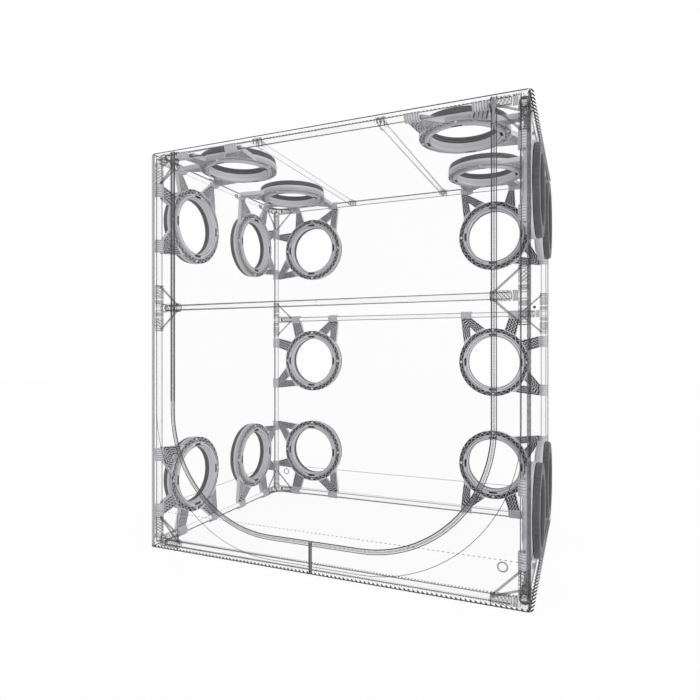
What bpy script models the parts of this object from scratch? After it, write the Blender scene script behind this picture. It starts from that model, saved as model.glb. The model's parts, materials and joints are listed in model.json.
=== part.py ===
"""Indoor grow tent, 900 x 600 x 980 mm, with eighteen duct ports.

A frame of round tubes stands in plug-in connectors, inside a sewn cover of six panels
and a zipped door. Every duct port is a moulded plate that clips on to two tubes from
inside, and a lock ring that twists on to the plate from outside and pinches the edge
of the cover's hole between the two. Two crossbars hook over the top bars.

Metres, +Z up, +X to the right of the door, +Y to the back. The origin is on the floor,
under the middle of the whole object's box.
"""

import math
from dataclasses import dataclass

import bmesh
import bpy
from mathutils import Matrix, Vector

# Cover
COVER_WIDTH = 0.900
COVER_DEPTH = 0.600
COVER_HEIGHT = 0.980
FABRIC = 0.001
GAP = 0.0003
HOLE_SIDES = 12
MERGE_DISTANCE = 0.00003
SHARP_ANGLE = math.radians(40)

# Door in the front panel, and its zip
ZIP_SIDE_INSET = 0.066
ZIP_HEIGHT = 0.068
ZIP_CORNER_RADIUS = 0.275
ZIP_CORNER_STEPS = 8
ZIP_BAND_WIDTH = 0.005
ZIP_BAND_STANDS_OUT = 0.0012
ZIP_BAND_TOP_ROOM = 0.003
DOOR_EDGE_GAP = 0.0006
DOOR_TOP_GAP = 0.001
SLIDER_LENGTH = 0.017
SLIDER_WIDTH = 0.012
SLIDER_TAIL_WIDTH = 0.008
SLIDER_DEPTH = 0.004
SLIDER_TOP_ROOM = 0.012
SLIDER_SHOULDER_SHARE = 1 / 3
PULL_LENGTH = 0.036
PULL_WIDTH = 0.007
PULL_TIP_WIDTH = 0.0045
PULL_THICKNESS = 0.0018
PULL_LAP = 0.006

# Frame tubes
TUBE_RADIUS = 0.008
TUBE_SIDES = 8
MID_BAR_HEIGHT_SHARE = 0.607

# Connectors
SLEEVE_WALL = 0.0023
CONNECTOR_REACH = 0.0625
MID_SLEEVE_LENGTH = 0.114
SOCKET_FLOOR = 0.022
STRUT_RADIUS = 0.0016
STRUT_SIDES = 4
STRUT_END_ROOM = 0.004

# Clips on the tubes
CLIP_WALL = 0.0029
CLIP_LENGTH = 0.032
CLIP_STEPS = 5
CLIP_HALF_OPENING = math.radians(60)
CLIP_SPACING = 0.0015
PAD_ROOM = 0.0008
PAD_WALL = 0.002

# Port plates
PORT_SIDES = 16
BORE_RADIUS = 0.075
COLLAR_WALL = 0.012
COLLAR_DEPTH = 0.021
BAND_WIDTH = 0.013
BAND_DEPTH = 0.016
LEG_SPAN = 0.0288
ARM_DEPTH = 0.011
ARM_STEP = 0.0005
FAR_CLIP_SHARE = 0.78
LEG_FOOT_ANGLES = (math.radians(50), math.radians(71))
FORK_FOOT_ANGLES = (math.radians(102), math.radians(150))
FORK_HOLE_ANGLES = (math.radians(120), math.radians(132.5))
FORK_HOLE_APEX_SHARE = 0.49

# Lock rings
RING_DEPTH = 0.0125
RING_TAPER = 0.003
HOLE_LAP = 0.015
TAB_THICKNESS = 0.003
TAB_WIDTH = 0.010
TAB_LENGTH = 0.015
SLOT_LENGTH = 0.022
SLOT_WIDTH = 0.005

# Crossbars under the roof
CROSSBAR_PORT_ROOM = 0.0375
HOOK_WIDTH = 0.020

# What follows from those sizes
CLIP_BORE = TUBE_RADIUS + GAP
CLIP_RADIUS = CLIP_BORE + CLIP_WALL
TUBE_INSET = FABRIC + GAP + CLIP_RADIUS
SLEEVE_RADIUS = TUBE_RADIUS + GAP + SLEEVE_WALL
HUB_HALF = SLEEVE_RADIUS + GAP
PLATE_RADIUS = BORE_RADIUS + COLLAR_WALL + BAND_WIDTH
PORT_REACH = PLATE_RADIUS + LEG_SPAN + CLIP_RADIUS
NEAR_CLIP = PORT_REACH - CONNECTOR_REACH - CLIP_SPACING - CLIP_LENGTH / 2
FAR_CLIP = FAR_CLIP_SHARE * PLATE_RADIUS
PLATE_TOP = TUBE_INSET - FABRIC - GAP
BAND_BOTTOM = PLATE_TOP - BAND_DEPTH
COLLAR_BOTTOM = PLATE_TOP - COLLAR_DEPTH
ARM_BOTTOM = BAND_BOTTOM + ARM_STEP
ARM_TOP = ARM_BOTTOM + ARM_DEPTH
RING_BOTTOM = TUBE_INSET + GAP
RING_TOP = RING_BOTTOM + RING_DEPTH
SLOT_RADIUS = BORE_RADIUS + COLLAR_WALL / 2
TAB_REST_ANGLE = -math.asin((SLOT_LENGTH - TAB_WIDTH - GAP) / 2 / SLOT_RADIUS)
POST_X = COVER_WIDTH / 2 - TUBE_INSET
POST_Y = COVER_DEPTH / 2 - TUBE_INSET
LOW_BAR_Z = TUBE_INSET
TOP_BAR_Z = COVER_HEIGHT - TUBE_INSET
MID_BAR_HEIGHT = COVER_HEIGHT * MID_BAR_HEIGHT_SHARE
CROSSBAR_X = POST_X - PORT_REACH - PLATE_RADIUS - CROSSBAR_PORT_ROOM - HOOK_WIDTH / 2
FRONT_REACH = ZIP_BAND_STANDS_OUT + GAP + SLIDER_DEPTH + PULL_THICKNESS
BACK_REACH = GAP + RING_DEPTH
COVER_MIDDLE_Y = (FRONT_REACH - BACK_REACH) / 2

X_AXIS = Vector((1, 0, 0))
Y_AXIS = Vector((0, 1, 0))
Z_AXIS = Vector((0, 0, 1))


@dataclass(frozen=True)
class Wall:
    """One panel of the cover: its outward normal and two axes in its plane."""

    name: str
    normal: Vector
    across: Vector

    def frame(self, origin):
        """A frame at origin whose third axis is the wall's outward normal."""
        up = self.normal.cross(self.across)
        return frame_of(origin, self.across, up, self.normal)


@dataclass(frozen=True)
class Port:
    """A duct port in the corner between two tubes.

    along holds the two tubes' directions, away from their crossing, and hold says
    which part of a full clip this port has on each: a tube that carries the clips of
    two walls gives each wall one half of the length.
    """

    name: str
    wall: Wall
    crossing: Vector
    along: tuple
    hold: tuple

    def frame(self):
        """The port's frame: third axis outwards, first two towards the crossing."""
        first, second = (-direction for direction in self.along)
        if first.cross(second).dot(self.wall.normal) < 0:
            first, second = second, first
        centre = self.crossing + (self.along[0] + self.along[1]) * PORT_REACH
        return frame_of(centre, first, second, self.wall.normal)

    def holds_in_order(self):
        """The clip holds for the tubes along the frame's first and second axis."""
        first, second = (-direction for direction in self.along)
        if first.cross(second).dot(self.wall.normal) < 0:
            return self.hold[1], self.hold[0]
        return self.hold


LEFT = Wall("left_wall", -X_AXIS, -Y_AXIS)
RIGHT = Wall("right_wall", X_AXIS, Y_AXIS)
BACK = Wall("back_wall", Y_AXIS, -X_AXIS)
FRONT = Wall("front", -Y_AXIS, X_AXIS)
ROOF = Wall("roof_panel", Z_AXIS, X_AXIS)
FLOOR = Wall("floor_panel", -Z_AXIS, X_AXIS)

FULL_CLIP = (-1, 1)
CORNER_HALF = (0, 1)
MIDDLE_HALF = (-1, 0)


def frame_of(origin, first, second, third):
    """A 4 x 4 matrix with the given axes as columns and the given origin."""
    matrix = Matrix((first, second, third)).transposed().to_4x4()
    matrix.translation = origin
    return matrix


def in_cover(x, y, z):
    """A point given from the middle of the cover's floor."""
    return Vector((x, y + COVER_MIDDLE_Y, z))


def material(name, colour, roughness, metallic=0.0, alpha=1.0):
    """A plain Principled material."""
    made = bpy.data.materials.new(name)
    made.use_nodes = True
    shader = made.node_tree.nodes["Principled BSDF"]
    shader.inputs["Base Color"].default_value = (*colour, 1.0)
    shader.inputs["Roughness"].default_value = roughness
    shader.inputs["Metallic"].default_value = metallic
    shader.inputs["Alpha"].default_value = alpha
    return made


def mesh_object(name, bm):
    """Link a new object that holds the bmesh, with its faces turned outwards."""
    bmesh.ops.recalc_face_normals(bm, faces=bm.faces)
    mesh = bpy.data.meshes.new(name)
    bm.to_mesh(mesh)
    bm.free()
    made = bpy.data.objects.new(name, mesh)
    bpy.context.scene.collection.objects.link(made)
    return made


def add_prism(bm, outline, low, high, matrix=None):
    """Extrude a flat outline from low to high, then move it by the matrix."""
    bottom = [bm.verts.new((x, y, low)) for x, y in outline]
    face = bm.faces.new(bottom)
    lifted = bmesh.ops.extrude_face_region(bm, geom=[face], use_keep_orig=True)
    top = [item for item in lifted["geom"] if isinstance(item, bmesh.types.BMVert)]
    bmesh.ops.translate(bm, verts=top, vec=(0, 0, high - low))
    if matrix is not None:
        bmesh.ops.transform(bm, matrix=matrix, verts=bottom + top)


def polygon(radius, sides):
    """The corners of a regular polygon, with the middle of one side at angle zero."""
    step = 2 * math.pi / sides
    angles = [(index + 1 / 2) * step for index in range(sides)]
    return [(radius * math.cos(a), radius * math.sin(a)) for a in angles]


def add_rod(bm, start, end, radius, sides):
    """A solid round bar between two points."""
    axis = end - start
    turn = axis.to_track_quat("Z", "Y").to_matrix().to_4x4()
    turn.translation = start
    add_prism(bm, polygon(radius, sides), 0, axis.length, turn)


def rod(start, end, radius, sides):
    """A solid round bar as an object of its own."""
    bm = bmesh.new()
    add_rod(bm, start, end, radius, sides)
    return mesh_object("rod", bm)


def turned_ring(name, profile, sides):
    """Spin a closed profile of (radius, height) points about the third axis."""
    bm = bmesh.new()
    start = Matrix.Rotation(math.pi / sides, 3, "Z")
    verts = [bm.verts.new(start @ Vector((radius, 0, height))) for radius, height in profile]
    edges = [bm.edges.new((verts[i - 1], verts[i])) for i in range(len(verts))]
    bmesh.ops.spin(bm, geom=verts + edges, axis=Z_AXIS, cent=(0, 0, 0),
                   angle=2 * math.pi, steps=sides)
    bmesh.ops.remove_doubles(bm, verts=bm.verts, dist=MERGE_DISTANCE)
    return mesh_object(name, bm)


def combine(base, tool, operation):
    """Join or cut base with tool, which is used up."""
    modifier = base.modifiers.new(operation.title(), "BOOLEAN")
    modifier.operation = operation
    modifier.solver = "EXACT"
    modifier.object = tool
    depsgraph = bpy.context.evaluated_depsgraph_get()
    result = bpy.data.meshes.new_from_object(base.evaluated_get(depsgraph))
    base.modifiers.clear()
    base.data = result
    bpy.data.objects.remove(tool)


def finish(piece, name, dress, frame=None, smooth=True):
    """Name the piece, give it its material and shading, and put it in its place."""
    piece.name = name
    piece.data.name = name
    piece.data.materials.clear()
    piece.data.materials.append(dress)
    if smooth:
        piece.data.shade_smooth()
        piece.data.set_sharp_from_angle(angle=SHARP_ANGLE)
    if frame is not None:
        piece.matrix_world = frame
    return piece


def clip_outline():
    """The C-shaped section of a clip, open towards the second axis.

    Where the arm joins it, at the low end of the first axis, its outside is a flat pad.
    """
    first = math.pi / 2 + CLIP_HALF_OPENING
    step = 2 * (math.pi - CLIP_HALF_OPENING) / CLIP_STEPS
    angles = [first + index * step for index in range(CLIP_STEPS + 1)]
    inner_radius = CLIP_BORE / math.cos(step / 2)
    pad = -CLIP_BORE - PAD_WALL
    outer = [(pad, ARM_TOP + PAD_ROOM), (pad, ARM_BOTTOM - PAD_ROOM)]
    outer += [(CLIP_RADIUS * math.cos(a), CLIP_RADIUS * math.sin(a)) for a in angles[2:]]
    inner = [(inner_radius * math.cos(a), inner_radius * math.sin(a)) for a in angles]
    return outer + inner[::-1]


def clip_span(centre, hold):
    """Where a clip begins and ends along its tube, for a full or a half clip."""
    low = centre + hold[0] * CLIP_LENGTH / 2
    high = centre + hold[1] * CLIP_LENGTH / 2
    if hold == CORNER_HALF:
        low += GAP / 2
    if hold == MIDDLE_HALF:
        high -= GAP / 2
    return low, high


def on_plate(radius, angle):
    """A point of the port plate's plane, in polar form."""
    return Vector((radius * math.cos(angle), radius * math.sin(angle)))


def arm_outline(span, foot_angles):
    """An arm from the plate's band to the clip: straight neck, then spreading feet."""
    neck_end = PORT_REACH - CLIP_BORE - CLIP_WALL / 2
    neck_start = PORT_REACH - CLIP_RADIUS - GAP
    foot_radius = PLATE_RADIUS - BAND_WIDTH / 2
    low, high = span
    foot_high, foot_low = foot_angles
    return [Vector((low, neck_end)), Vector((low, neck_start)),
            on_plate(foot_radius, foot_low), on_plate(foot_radius, foot_high),
            Vector((high, neck_start)), Vector((high, neck_end))]


def fork_hole_outline(span):
    """The triangular opening between a fork's two prongs, with its base in the band."""
    low, high = span
    neck = Vector(((low + high) / 2, PORT_REACH - CLIP_RADIUS - GAP))
    foot = on_plate(PLATE_RADIUS, sum(FORK_HOLE_ANGLES) / 2)
    base = [on_plate(PLATE_RADIUS - BAND_WIDTH / 2, angle) for angle in FORK_HOLE_ANGLES]
    return [foot.lerp(neck, FORK_HOLE_APEX_SHARE), base[1], base[0]]


def swapped(outline):
    """The outline mirrored in the plate's diagonal."""
    return [(y, x) for x, y in outline]


def plate_arms(hold_first, hold_second):
    """The two legs and two forks, as one mesh of four separate prisms."""
    bm = bmesh.new()
    for hold, mirrored in ((hold_first, False), (hold_second, True)):
        leg = arm_outline(clip_span(NEAR_CLIP, hold), LEG_FOOT_ANGLES)
        fork = arm_outline(clip_span(-FAR_CLIP, hold), FORK_FOOT_ANGLES)
        for outline in (leg, fork):
            add_prism(bm, swapped(outline) if mirrored else outline, ARM_BOTTOM, ARM_TOP)
    return mesh_object("arms", bm)


def fork_holes(hold_first, hold_second):
    """Cutters for the triangular openings of both forks."""
    bm = bmesh.new()
    for hold, mirrored in ((hold_first, False), (hold_second, True)):
        outline = fork_hole_outline(clip_span(-FAR_CLIP, hold))
        add_prism(bm, swapped(outline) if mirrored else outline,
                  ARM_BOTTOM - GAP, ARM_TOP + GAP)
    return mesh_object("fork holes", bm)


def plate_clips(hold_first, hold_second):
    """The four C clips around the two tubes, open towards the cover."""
    bm = bmesh.new()
    section = clip_outline()
    along_first = frame_of(Vector((0, PORT_REACH, 0)), Y_AXIS, Z_AXIS, X_AXIS)
    along_second = frame_of(Vector((PORT_REACH, 0, 0)), X_AXIS, Z_AXIS, -Y_AXIS)
    for hold, frame, way in ((hold_first, along_first, 1), (hold_second, along_second, -1)):
        for centre in (NEAR_CLIP, -FAR_CLIP):
            low, high = sorted(way * end for end in clip_span(centre, hold))
            add_prism(bm, section, low, high, frame)
    return mesh_object("clips", bm)


def quarter_boxes(width, thickness, radius, angle, low, high):
    """Four flat boxes at a quarter turn from each other around the port's axis."""
    bm = bmesh.new()
    half = width / 2
    inner = radius - thickness / 2
    outer = radius + thickness / 2
    outline = [(inner, -half), (outer, -half), (outer, half), (inner, half)]
    for quarter in range(4):
        turn = Matrix.Rotation(angle + quarter * math.pi / 2, 4, "Z")
        add_prism(bm, outline, low, high, turn)
    return mesh_object("boxes", bm)


def port_plate_mesh(hold_first, hold_second):
    """The inner half of a duct port: collar, band, four arms and four clips."""
    bore = BORE_RADIUS / math.cos(math.pi / PORT_SIDES)
    collar = BORE_RADIUS + COLLAR_WALL
    profile = [(bore, COLLAR_BOTTOM), (collar, COLLAR_BOTTOM), (collar, BAND_BOTTOM),
               (PLATE_RADIUS, BAND_BOTTOM), (PLATE_RADIUS, PLATE_TOP), (bore, PLATE_TOP)]
    plate = turned_ring("plate", profile, PORT_SIDES)
    arms = plate_arms(hold_first, hold_second)
    combine(arms, fork_holes(hold_first, hold_second), "DIFFERENCE")
    combine(plate, arms, "UNION")
    combine(plate, plate_clips(hold_first, hold_second), "UNION")
    slots = quarter_boxes(SLOT_LENGTH, SLOT_WIDTH, SLOT_RADIUS, 0,
                          COLLAR_BOTTOM - GAP, PLATE_TOP + GAP)
    combine(plate, slots, "DIFFERENCE")
    mesh = plate.data
    bpy.data.objects.remove(plate)
    return mesh


def lock_ring_mesh():
    """The outer half of a duct port: a tapered ring with four bayonet tabs."""
    bore = BORE_RADIUS / math.cos(math.pi / PORT_SIDES)
    profile = [(bore, RING_BOTTOM), (PLATE_RADIUS, RING_BOTTOM),
               (PLATE_RADIUS - RING_TAPER, RING_TOP), (bore, RING_TOP)]
    ring = turned_ring("ring", profile, PORT_SIDES)
    tabs = quarter_boxes(TAB_WIDTH, TAB_THICKNESS, SLOT_RADIUS, TAB_REST_ANGLE,
                         RING_BOTTOM - TAB_LENGTH, RING_BOTTOM + RING_DEPTH / 2)
    combine(ring, tabs, "UNION")
    mesh = ring.data
    bpy.data.objects.remove(ring)
    return mesh


def all_ports():
    """Every duct port, with its two tubes and its share of each."""
    ports = []
    for side, wall, x_sign in (("left", LEFT, -1), ("right", RIGHT, 1)):
        for end, y_sign in (("front", -1), ("back", 1)):
            post_hold = CORNER_HALF if end == "back" else FULL_CLIP
            along_y = -y_sign * Y_AXIS
            top = in_cover(x_sign * POST_X, y_sign * POST_Y, TOP_BAR_Z)
            low = in_cover(x_sign * POST_X, y_sign * POST_Y, LOW_BAR_Z)
            ports.append(Port(f"{side}_upper_{end}", wall, top,
                              (along_y, -Z_AXIS), (CORNER_HALF, post_hold)))
            ports.append(Port(f"{side}_lower_{end}", wall, low,
                              (along_y, Z_AXIS), (FULL_CLIP, post_hold)))
            bar_hold = CORNER_HALF if end == "back" else FULL_CLIP
            ports.append(Port(f"roof_{end}_{side}", ROOF, top,
                              (-x_sign * X_AXIS, along_y), (bar_hold, MIDDLE_HALF)))
        along_x = -x_sign * X_AXIS
        levels = (("upper", TOP_BAR_Z, -Z_AXIS, MIDDLE_HALF, MIDDLE_HALF),
                  ("middle", MID_BAR_HEIGHT, -Z_AXIS, FULL_CLIP, FULL_CLIP),
                  ("lower", LOW_BAR_Z, Z_AXIS, FULL_CLIP, MIDDLE_HALF))
        for level, height, along_z, bar_hold, post_hold in levels:
            crossing = in_cover(x_sign * POST_X, POST_Y, height)
            ports.append(Port(f"back_{level}_{side}", BACK, crossing,
                              (along_x, along_z), (bar_hold, post_hold)))
    return ports


def build_ports(ports):
    """Make a plate and a lock ring for every port."""
    plates = {}
    ring_mesh = lock_ring_mesh()
    for port in ports:
        holds = port.holds_in_order()
        if holds not in plates:
            plates[holds] = port_plate_mesh(*holds)
        plate_dress = material(f"plate_{port.name}", (0.62, 0.63, 0.67), 0.5)
        ring_dress = material(f"ring_{port.name}", (0.17, 0.17, 0.18), 0.55)
        for kind, mesh, dress in (("port_plate", plates[holds], plate_dress),
                                  ("port_ring", ring_mesh, ring_dress)):
            piece = bpy.data.objects.new(kind, mesh.copy())
            bpy.context.scene.collection.objects.link(piece)
            finish(piece, f"{kind}_{port.name}", dress, port.frame())


def panel(wall, centre, width, height, ports, dress):
    """A flat panel of the cover, with a round hole for each of its ports."""
    frame = wall.frame(centre)
    bm = bmesh.new()
    half_width = width / 2
    half_height = height / 2
    outline = [(-half_width, -half_height), (half_width, -half_height),
               (half_width, half_height), (-half_width, half_height)]
    add_prism(bm, outline, -FABRIC, 0)
    sheet = mesh_object(wall.name, bm)
    own_ports = [port for port in ports if port.wall is wall]
    if own_ports:
        radius = (PLATE_RADIUS - HOLE_LAP) / math.cos(math.pi / HOLE_SIDES)
        bm = bmesh.new()
        for port in own_ports:
            place = frame.inverted() @ port.frame().translation
            add_prism(bm, polygon(radius, HOLE_SIDES), -FABRIC - GAP, GAP,
                      Matrix.Translation((place.x, place.y, 0)))
        combine(sheet, mesh_object("holes", bm), "DIFFERENCE")
    finish(sheet, wall.name, dress, frame, smooth=False)


def build_cover(ports):
    """The five plain panels of the cover, each sewn to its neighbours at a seam."""
    side_height = COVER_HEIGHT - 2 * (FABRIC + GAP)
    back_width = COVER_WIDTH - 2 * (FABRIC + GAP)
    middle_z = COVER_HEIGHT / 2
    half_width = COVER_WIDTH / 2
    sizes = ((LEFT, in_cover(-half_width, 0, middle_z), COVER_DEPTH, side_height),
             (RIGHT, in_cover(half_width, 0, middle_z), COVER_DEPTH, side_height),
             (BACK, in_cover(0, COVER_DEPTH / 2, middle_z), back_width, side_height),
             (ROOF, in_cover(0, 0, COVER_HEIGHT), COVER_WIDTH, COVER_DEPTH),
             (FLOOR, in_cover(0, 0, 0), COVER_WIDTH, COVER_DEPTH))
    for wall, centre, width, height in sizes:
        dress = material(f"film_{wall.name}", (0.90, 0.91, 0.93), 0.4, alpha=0.25)
        panel(wall, centre, width, height, ports, dress)


def zip_path(inset, top_room=0):
    """The U of the zip, moved inwards, from the top left round to the top right.

    Points are (across, height), with height counted from the cover's floor.
    """
    half = COVER_WIDTH / 2 - ZIP_SIDE_INSET - inset
    radius = ZIP_CORNER_RADIUS - inset
    bottom = ZIP_HEIGHT + inset
    top = COVER_HEIGHT - FABRIC - DOOR_TOP_GAP - top_room
    points = [(-half, top)]
    for side, start in ((-1, math.pi), (1, 3 * math.pi / 2)):
        for index in range(ZIP_CORNER_STEPS + 1):
            angle = start + index * math.pi / 2 / ZIP_CORNER_STEPS
            points.append((side * (half - radius) + radius * math.cos(angle),
                           bottom + radius + radius * math.sin(angle)))
    points.append((half, top))
    return points


def zip_band(near_inset, far_inset):
    """The outline of one raised zip band, which ends just under the door's top."""
    near = zip_path(near_inset, ZIP_BAND_TOP_ROOM)
    far = zip_path(far_inset, ZIP_BAND_TOP_ROOM)
    return near + far[::-1]


def front_piece(name, outline, band, dress):
    """A flat piece of the front with a raised zip band along its edge."""
    bm = bmesh.new()
    add_prism(bm, outline, -FABRIC, 0)
    piece = mesh_object(name, bm)
    bm = bmesh.new()
    add_prism(bm, band, -FABRIC / 2, ZIP_BAND_STANDS_OUT)
    combine(piece, mesh_object("band", bm), "UNION")
    return finish(piece, name, dress, FRONT.frame(in_cover(0, -COVER_DEPTH / 2, 0)),
                  smooth=False)


def build_front():
    """The door inside the zip, and the surround outside it."""
    door_edge = zip_path(DOOR_EDGE_GAP / 2)
    door_band = zip_band(DOOR_EDGE_GAP / 2, DOOR_EDGE_GAP / 2 + ZIP_BAND_WIDTH)
    frame_edge = zip_path(-DOOR_EDGE_GAP / 2)
    frame_band = zip_band(-DOOR_EDGE_GAP / 2, -DOOR_EDGE_GAP / 2 - ZIP_BAND_WIDTH)
    half = COVER_WIDTH / 2 - FABRIC - GAP
    bottom = FABRIC + GAP
    top = COVER_HEIGHT - FABRIC - DOOR_TOP_GAP
    surround = frame_edge + [(half, top), (half, bottom), (-half, bottom), (-half, top)]
    surround_dress = material("film_surround", (0.90, 0.91, 0.93), 0.4, alpha=0.25)
    door_dress = material("film_door", (0.91, 0.92, 0.94), 0.4, alpha=0.25)
    front_piece("front_surround", surround, frame_band, surround_dress)
    door = front_piece("door_panel", door_edge, door_band, door_dress)
    to_hinge = Matrix.Translation((0, -top, FABRIC / 2))
    door.data.transform(to_hinge)
    door.matrix_world = door.matrix_world @ to_hinge.inverted()


def build_slider():
    """The zip's slider and its pull, at the top of the zip's right-hand run."""
    bm = bmesh.new()
    half = SLIDER_WIDTH / 2
    tail = SLIDER_TAIL_WIDTH / 2
    shoulder = -SLIDER_LENGTH * SLIDER_SHOULDER_SHARE
    body = [(-half, shoulder), (-tail, -SLIDER_LENGTH), (tail, -SLIDER_LENGTH),
            (half, shoulder), (half, 0), (-half, 0)]
    add_prism(bm, body, 0, SLIDER_DEPTH)
    slider = mesh_object("slider", bm)
    bm = bmesh.new()
    wide = PULL_WIDTH / 2
    narrow = PULL_TIP_WIDTH / 2
    start = PULL_LAP - SLIDER_LENGTH
    end = start - PULL_LENGTH
    pull = [(-narrow, start), (-wide, end + PULL_WIDTH), (-narrow, end), (narrow, end),
            (wide, end + PULL_WIDTH), (narrow, start)]
    add_prism(bm, pull, SLIDER_DEPTH - GAP, SLIDER_DEPTH + PULL_THICKNESS)
    combine(slider, mesh_object("pull", bm), "UNION")
    place = in_cover(COVER_WIDTH / 2 - ZIP_SIDE_INSET,
                     -COVER_DEPTH / 2 - ZIP_BAND_STANDS_OUT - GAP,
                     COVER_HEIGHT - SLIDER_TOP_ROOM)
    dress = material("slider_metal", (0.32, 0.32, 0.34), 0.35, metallic=0.9)
    finish(slider, "zip_slider", dress, FRONT.frame(place), smooth=False)


def hub(centre):
    """The moulded block where a connector's sleeves meet."""
    bm = bmesh.new()
    bmesh.ops.create_cube(bm, size=2 * HUB_HALF, matrix=Matrix.Translation(centre))
    return mesh_object("hub", bm)


def add_sleeve(post, centre, direction, reach):
    """Join a connector's sleeve to the post."""
    start = centre + direction * (HUB_HALF / 2)
    combine(post, rod(start, centre + direction * reach, SLEEVE_RADIUS, TUBE_SIDES), "UNION")


def add_strut(post, centre, first, second, first_reach, second_reach):
    """Join the thin brace between the ends of two sleeves."""
    start = centre + first * (first_reach - STRUT_END_ROOM) + second * (SLEEVE_RADIUS / 2)
    end = centre + second * (second_reach - STRUT_END_ROOM) + first * (SLEEVE_RADIUS / 2)
    combine(post, rod(start, end, STRUT_RADIUS, STRUT_SIDES), "UNION")


def add_socket_bore(bm, centre, direction):
    """A cutter for the bore that takes the end of a bar."""
    bore = (TUBE_RADIUS + GAP) / math.cos(math.pi / TUBE_SIDES)
    start = centre + direction * SOCKET_FLOOR
    add_rod(bm, start, centre + direction * (CONNECTOR_REACH + GAP), bore, TUBE_SIDES)


def post_with_connectors(x_sign, y_sign):
    """A corner post with its two corner connectors and its mid-height connector."""
    inward_x = -x_sign * X_AXIS
    inward_y = -y_sign * Y_AXIS
    low = Vector((0, 0, LOW_BAR_Z))
    middle = Vector((0, 0, MID_BAR_HEIGHT))
    top = Vector((0, 0, TOP_BAR_Z))
    post = rod(low, top, TUBE_RADIUS, TUBE_SIDES)
    bores = bmesh.new()
    for centre, inward_z in ((low, Z_AXIS), (top, -Z_AXIS)):
        combine(post, hub(centre), "UNION")
        for direction in (inward_x, inward_y, inward_z):
            add_sleeve(post, centre, direction, CONNECTOR_REACH)
        for first, second in ((inward_x, inward_y), (inward_y, inward_z), (inward_z, inward_x)):
            add_strut(post, centre, first, second, CONNECTOR_REACH, CONNECTOR_REACH)
        add_socket_bore(bores, centre, inward_x)
        add_socket_bore(bores, centre, inward_y)
    combine(post, hub(middle), "UNION")
    add_sleeve(post, middle, inward_x, CONNECTOR_REACH)
    for direction in (Z_AXIS, -Z_AXIS):
        add_sleeve(post, middle, direction, MID_SLEEVE_LENGTH / 2)
        add_strut(post, middle, inward_x, direction, CONNECTOR_REACH, MID_SLEEVE_LENGTH / 2)
    add_socket_bore(bores, middle, inward_x)
    combine(post, mesh_object("bores", bores), "DIFFERENCE")
    return post


def build_posts():
    """The four corner posts."""
    for end, y_sign in (("front", -1), ("back", 1)):
        for side, x_sign in (("left", -1), ("right", 1)):
            post = post_with_connectors(x_sign, y_sign)
            place = Matrix.Translation(in_cover(x_sign * POST_X, y_sign * POST_Y, 0))
            dress = material(f"steel_post_{end}_{side}", (0.80, 0.81, 0.83), 0.35)
            finish(post, f"{end}_{side}_post", dress, place)


def build_bar(name, middle, direction, length):
    """A frame tube whose ends stand in two sockets."""
    half = direction * (length / 2)
    bar = rod(-half, half, TUBE_RADIUS, TUBE_SIDES)
    dress = material(f"steel_{name}", (0.80, 0.81, 0.83), 0.35)
    finish(bar, name, dress, Matrix.Translation(middle))


def build_bars():
    """The ten bars that plug into the connectors."""
    wide = 2 * (POST_X - SOCKET_FLOOR - GAP)
    deep = 2 * (POST_Y - SOCKET_FLOOR - GAP)
    for level, height in (("bottom", LOW_BAR_Z), ("top", TOP_BAR_Z)):
        for end, y in (("front", -POST_Y), ("back", POST_Y)):
            build_bar(f"{end}_{level}_bar", in_cover(0, y, height), X_AXIS, wide)
        for side, x in (("left", -POST_X), ("right", POST_X)):
            build_bar(f"{side}_{level}_bar", in_cover(x, 0, height), Y_AXIS, deep)
    for end, y in (("front", -POST_Y), ("back", POST_Y)):
        build_bar(f"{end}_middle_bar", in_cover(0, y, MID_BAR_HEIGHT), X_AXIS, wide)


def build_crossbars():
    """Two bars along the depth, each hooked over the front and back top bars."""
    for side, x_sign in (("left", -1), ("right", 1)):
        reach = Y_AXIS * (POST_Y - CLIP_BORE - PAD_WALL / 2)
        bar = rod(-reach, reach, TUBE_RADIUS, TUBE_SIDES)
        bm = bmesh.new()
        for outward in (-Y_AXIS, Y_AXIS):
            frame = frame_of(outward * POST_Y, outward, -Z_AXIS, outward.cross(-Z_AXIS))
            add_prism(bm, clip_outline(), -HOOK_WIDTH / 2, HOOK_WIDTH / 2, frame)
        combine(bar, mesh_object("hooks", bm), "UNION")
        place = Matrix.Translation(in_cover(x_sign * CROSSBAR_X, 0, TOP_BAR_Z))
        dress = material(f"steel_crossbar_{side}", (0.80, 0.81, 0.83), 0.35)
        finish(bar, f"{side}_crossbar", dress, place)


def main():
    """Clear the scene and build the tent."""
    for old in list(bpy.data.objects):
        bpy.data.objects.remove(old)
    ports = all_ports()
    build_cover(ports)
    build_front()
    build_slider()
    build_posts()
    build_bars()
    build_crossbars()
    build_ports(ports)


main()
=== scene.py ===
"""Looks of an indoor grow tent: tubes, connectors, duct ports, zipped cover and its seams.

Every visible piece is a surface worked out on a grid, in metres, at its real place round
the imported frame: +X to the right of the door, +Y to the back, +Z up.
"""

import json
import logging
import math
from dataclasses import dataclass, replace
from enum import Enum

import bmesh
import bpy
import numpy as np
from bpy.types import Material, Mesh, Node, NodeSocket, Object
from mathutils import Matrix, Vector


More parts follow.
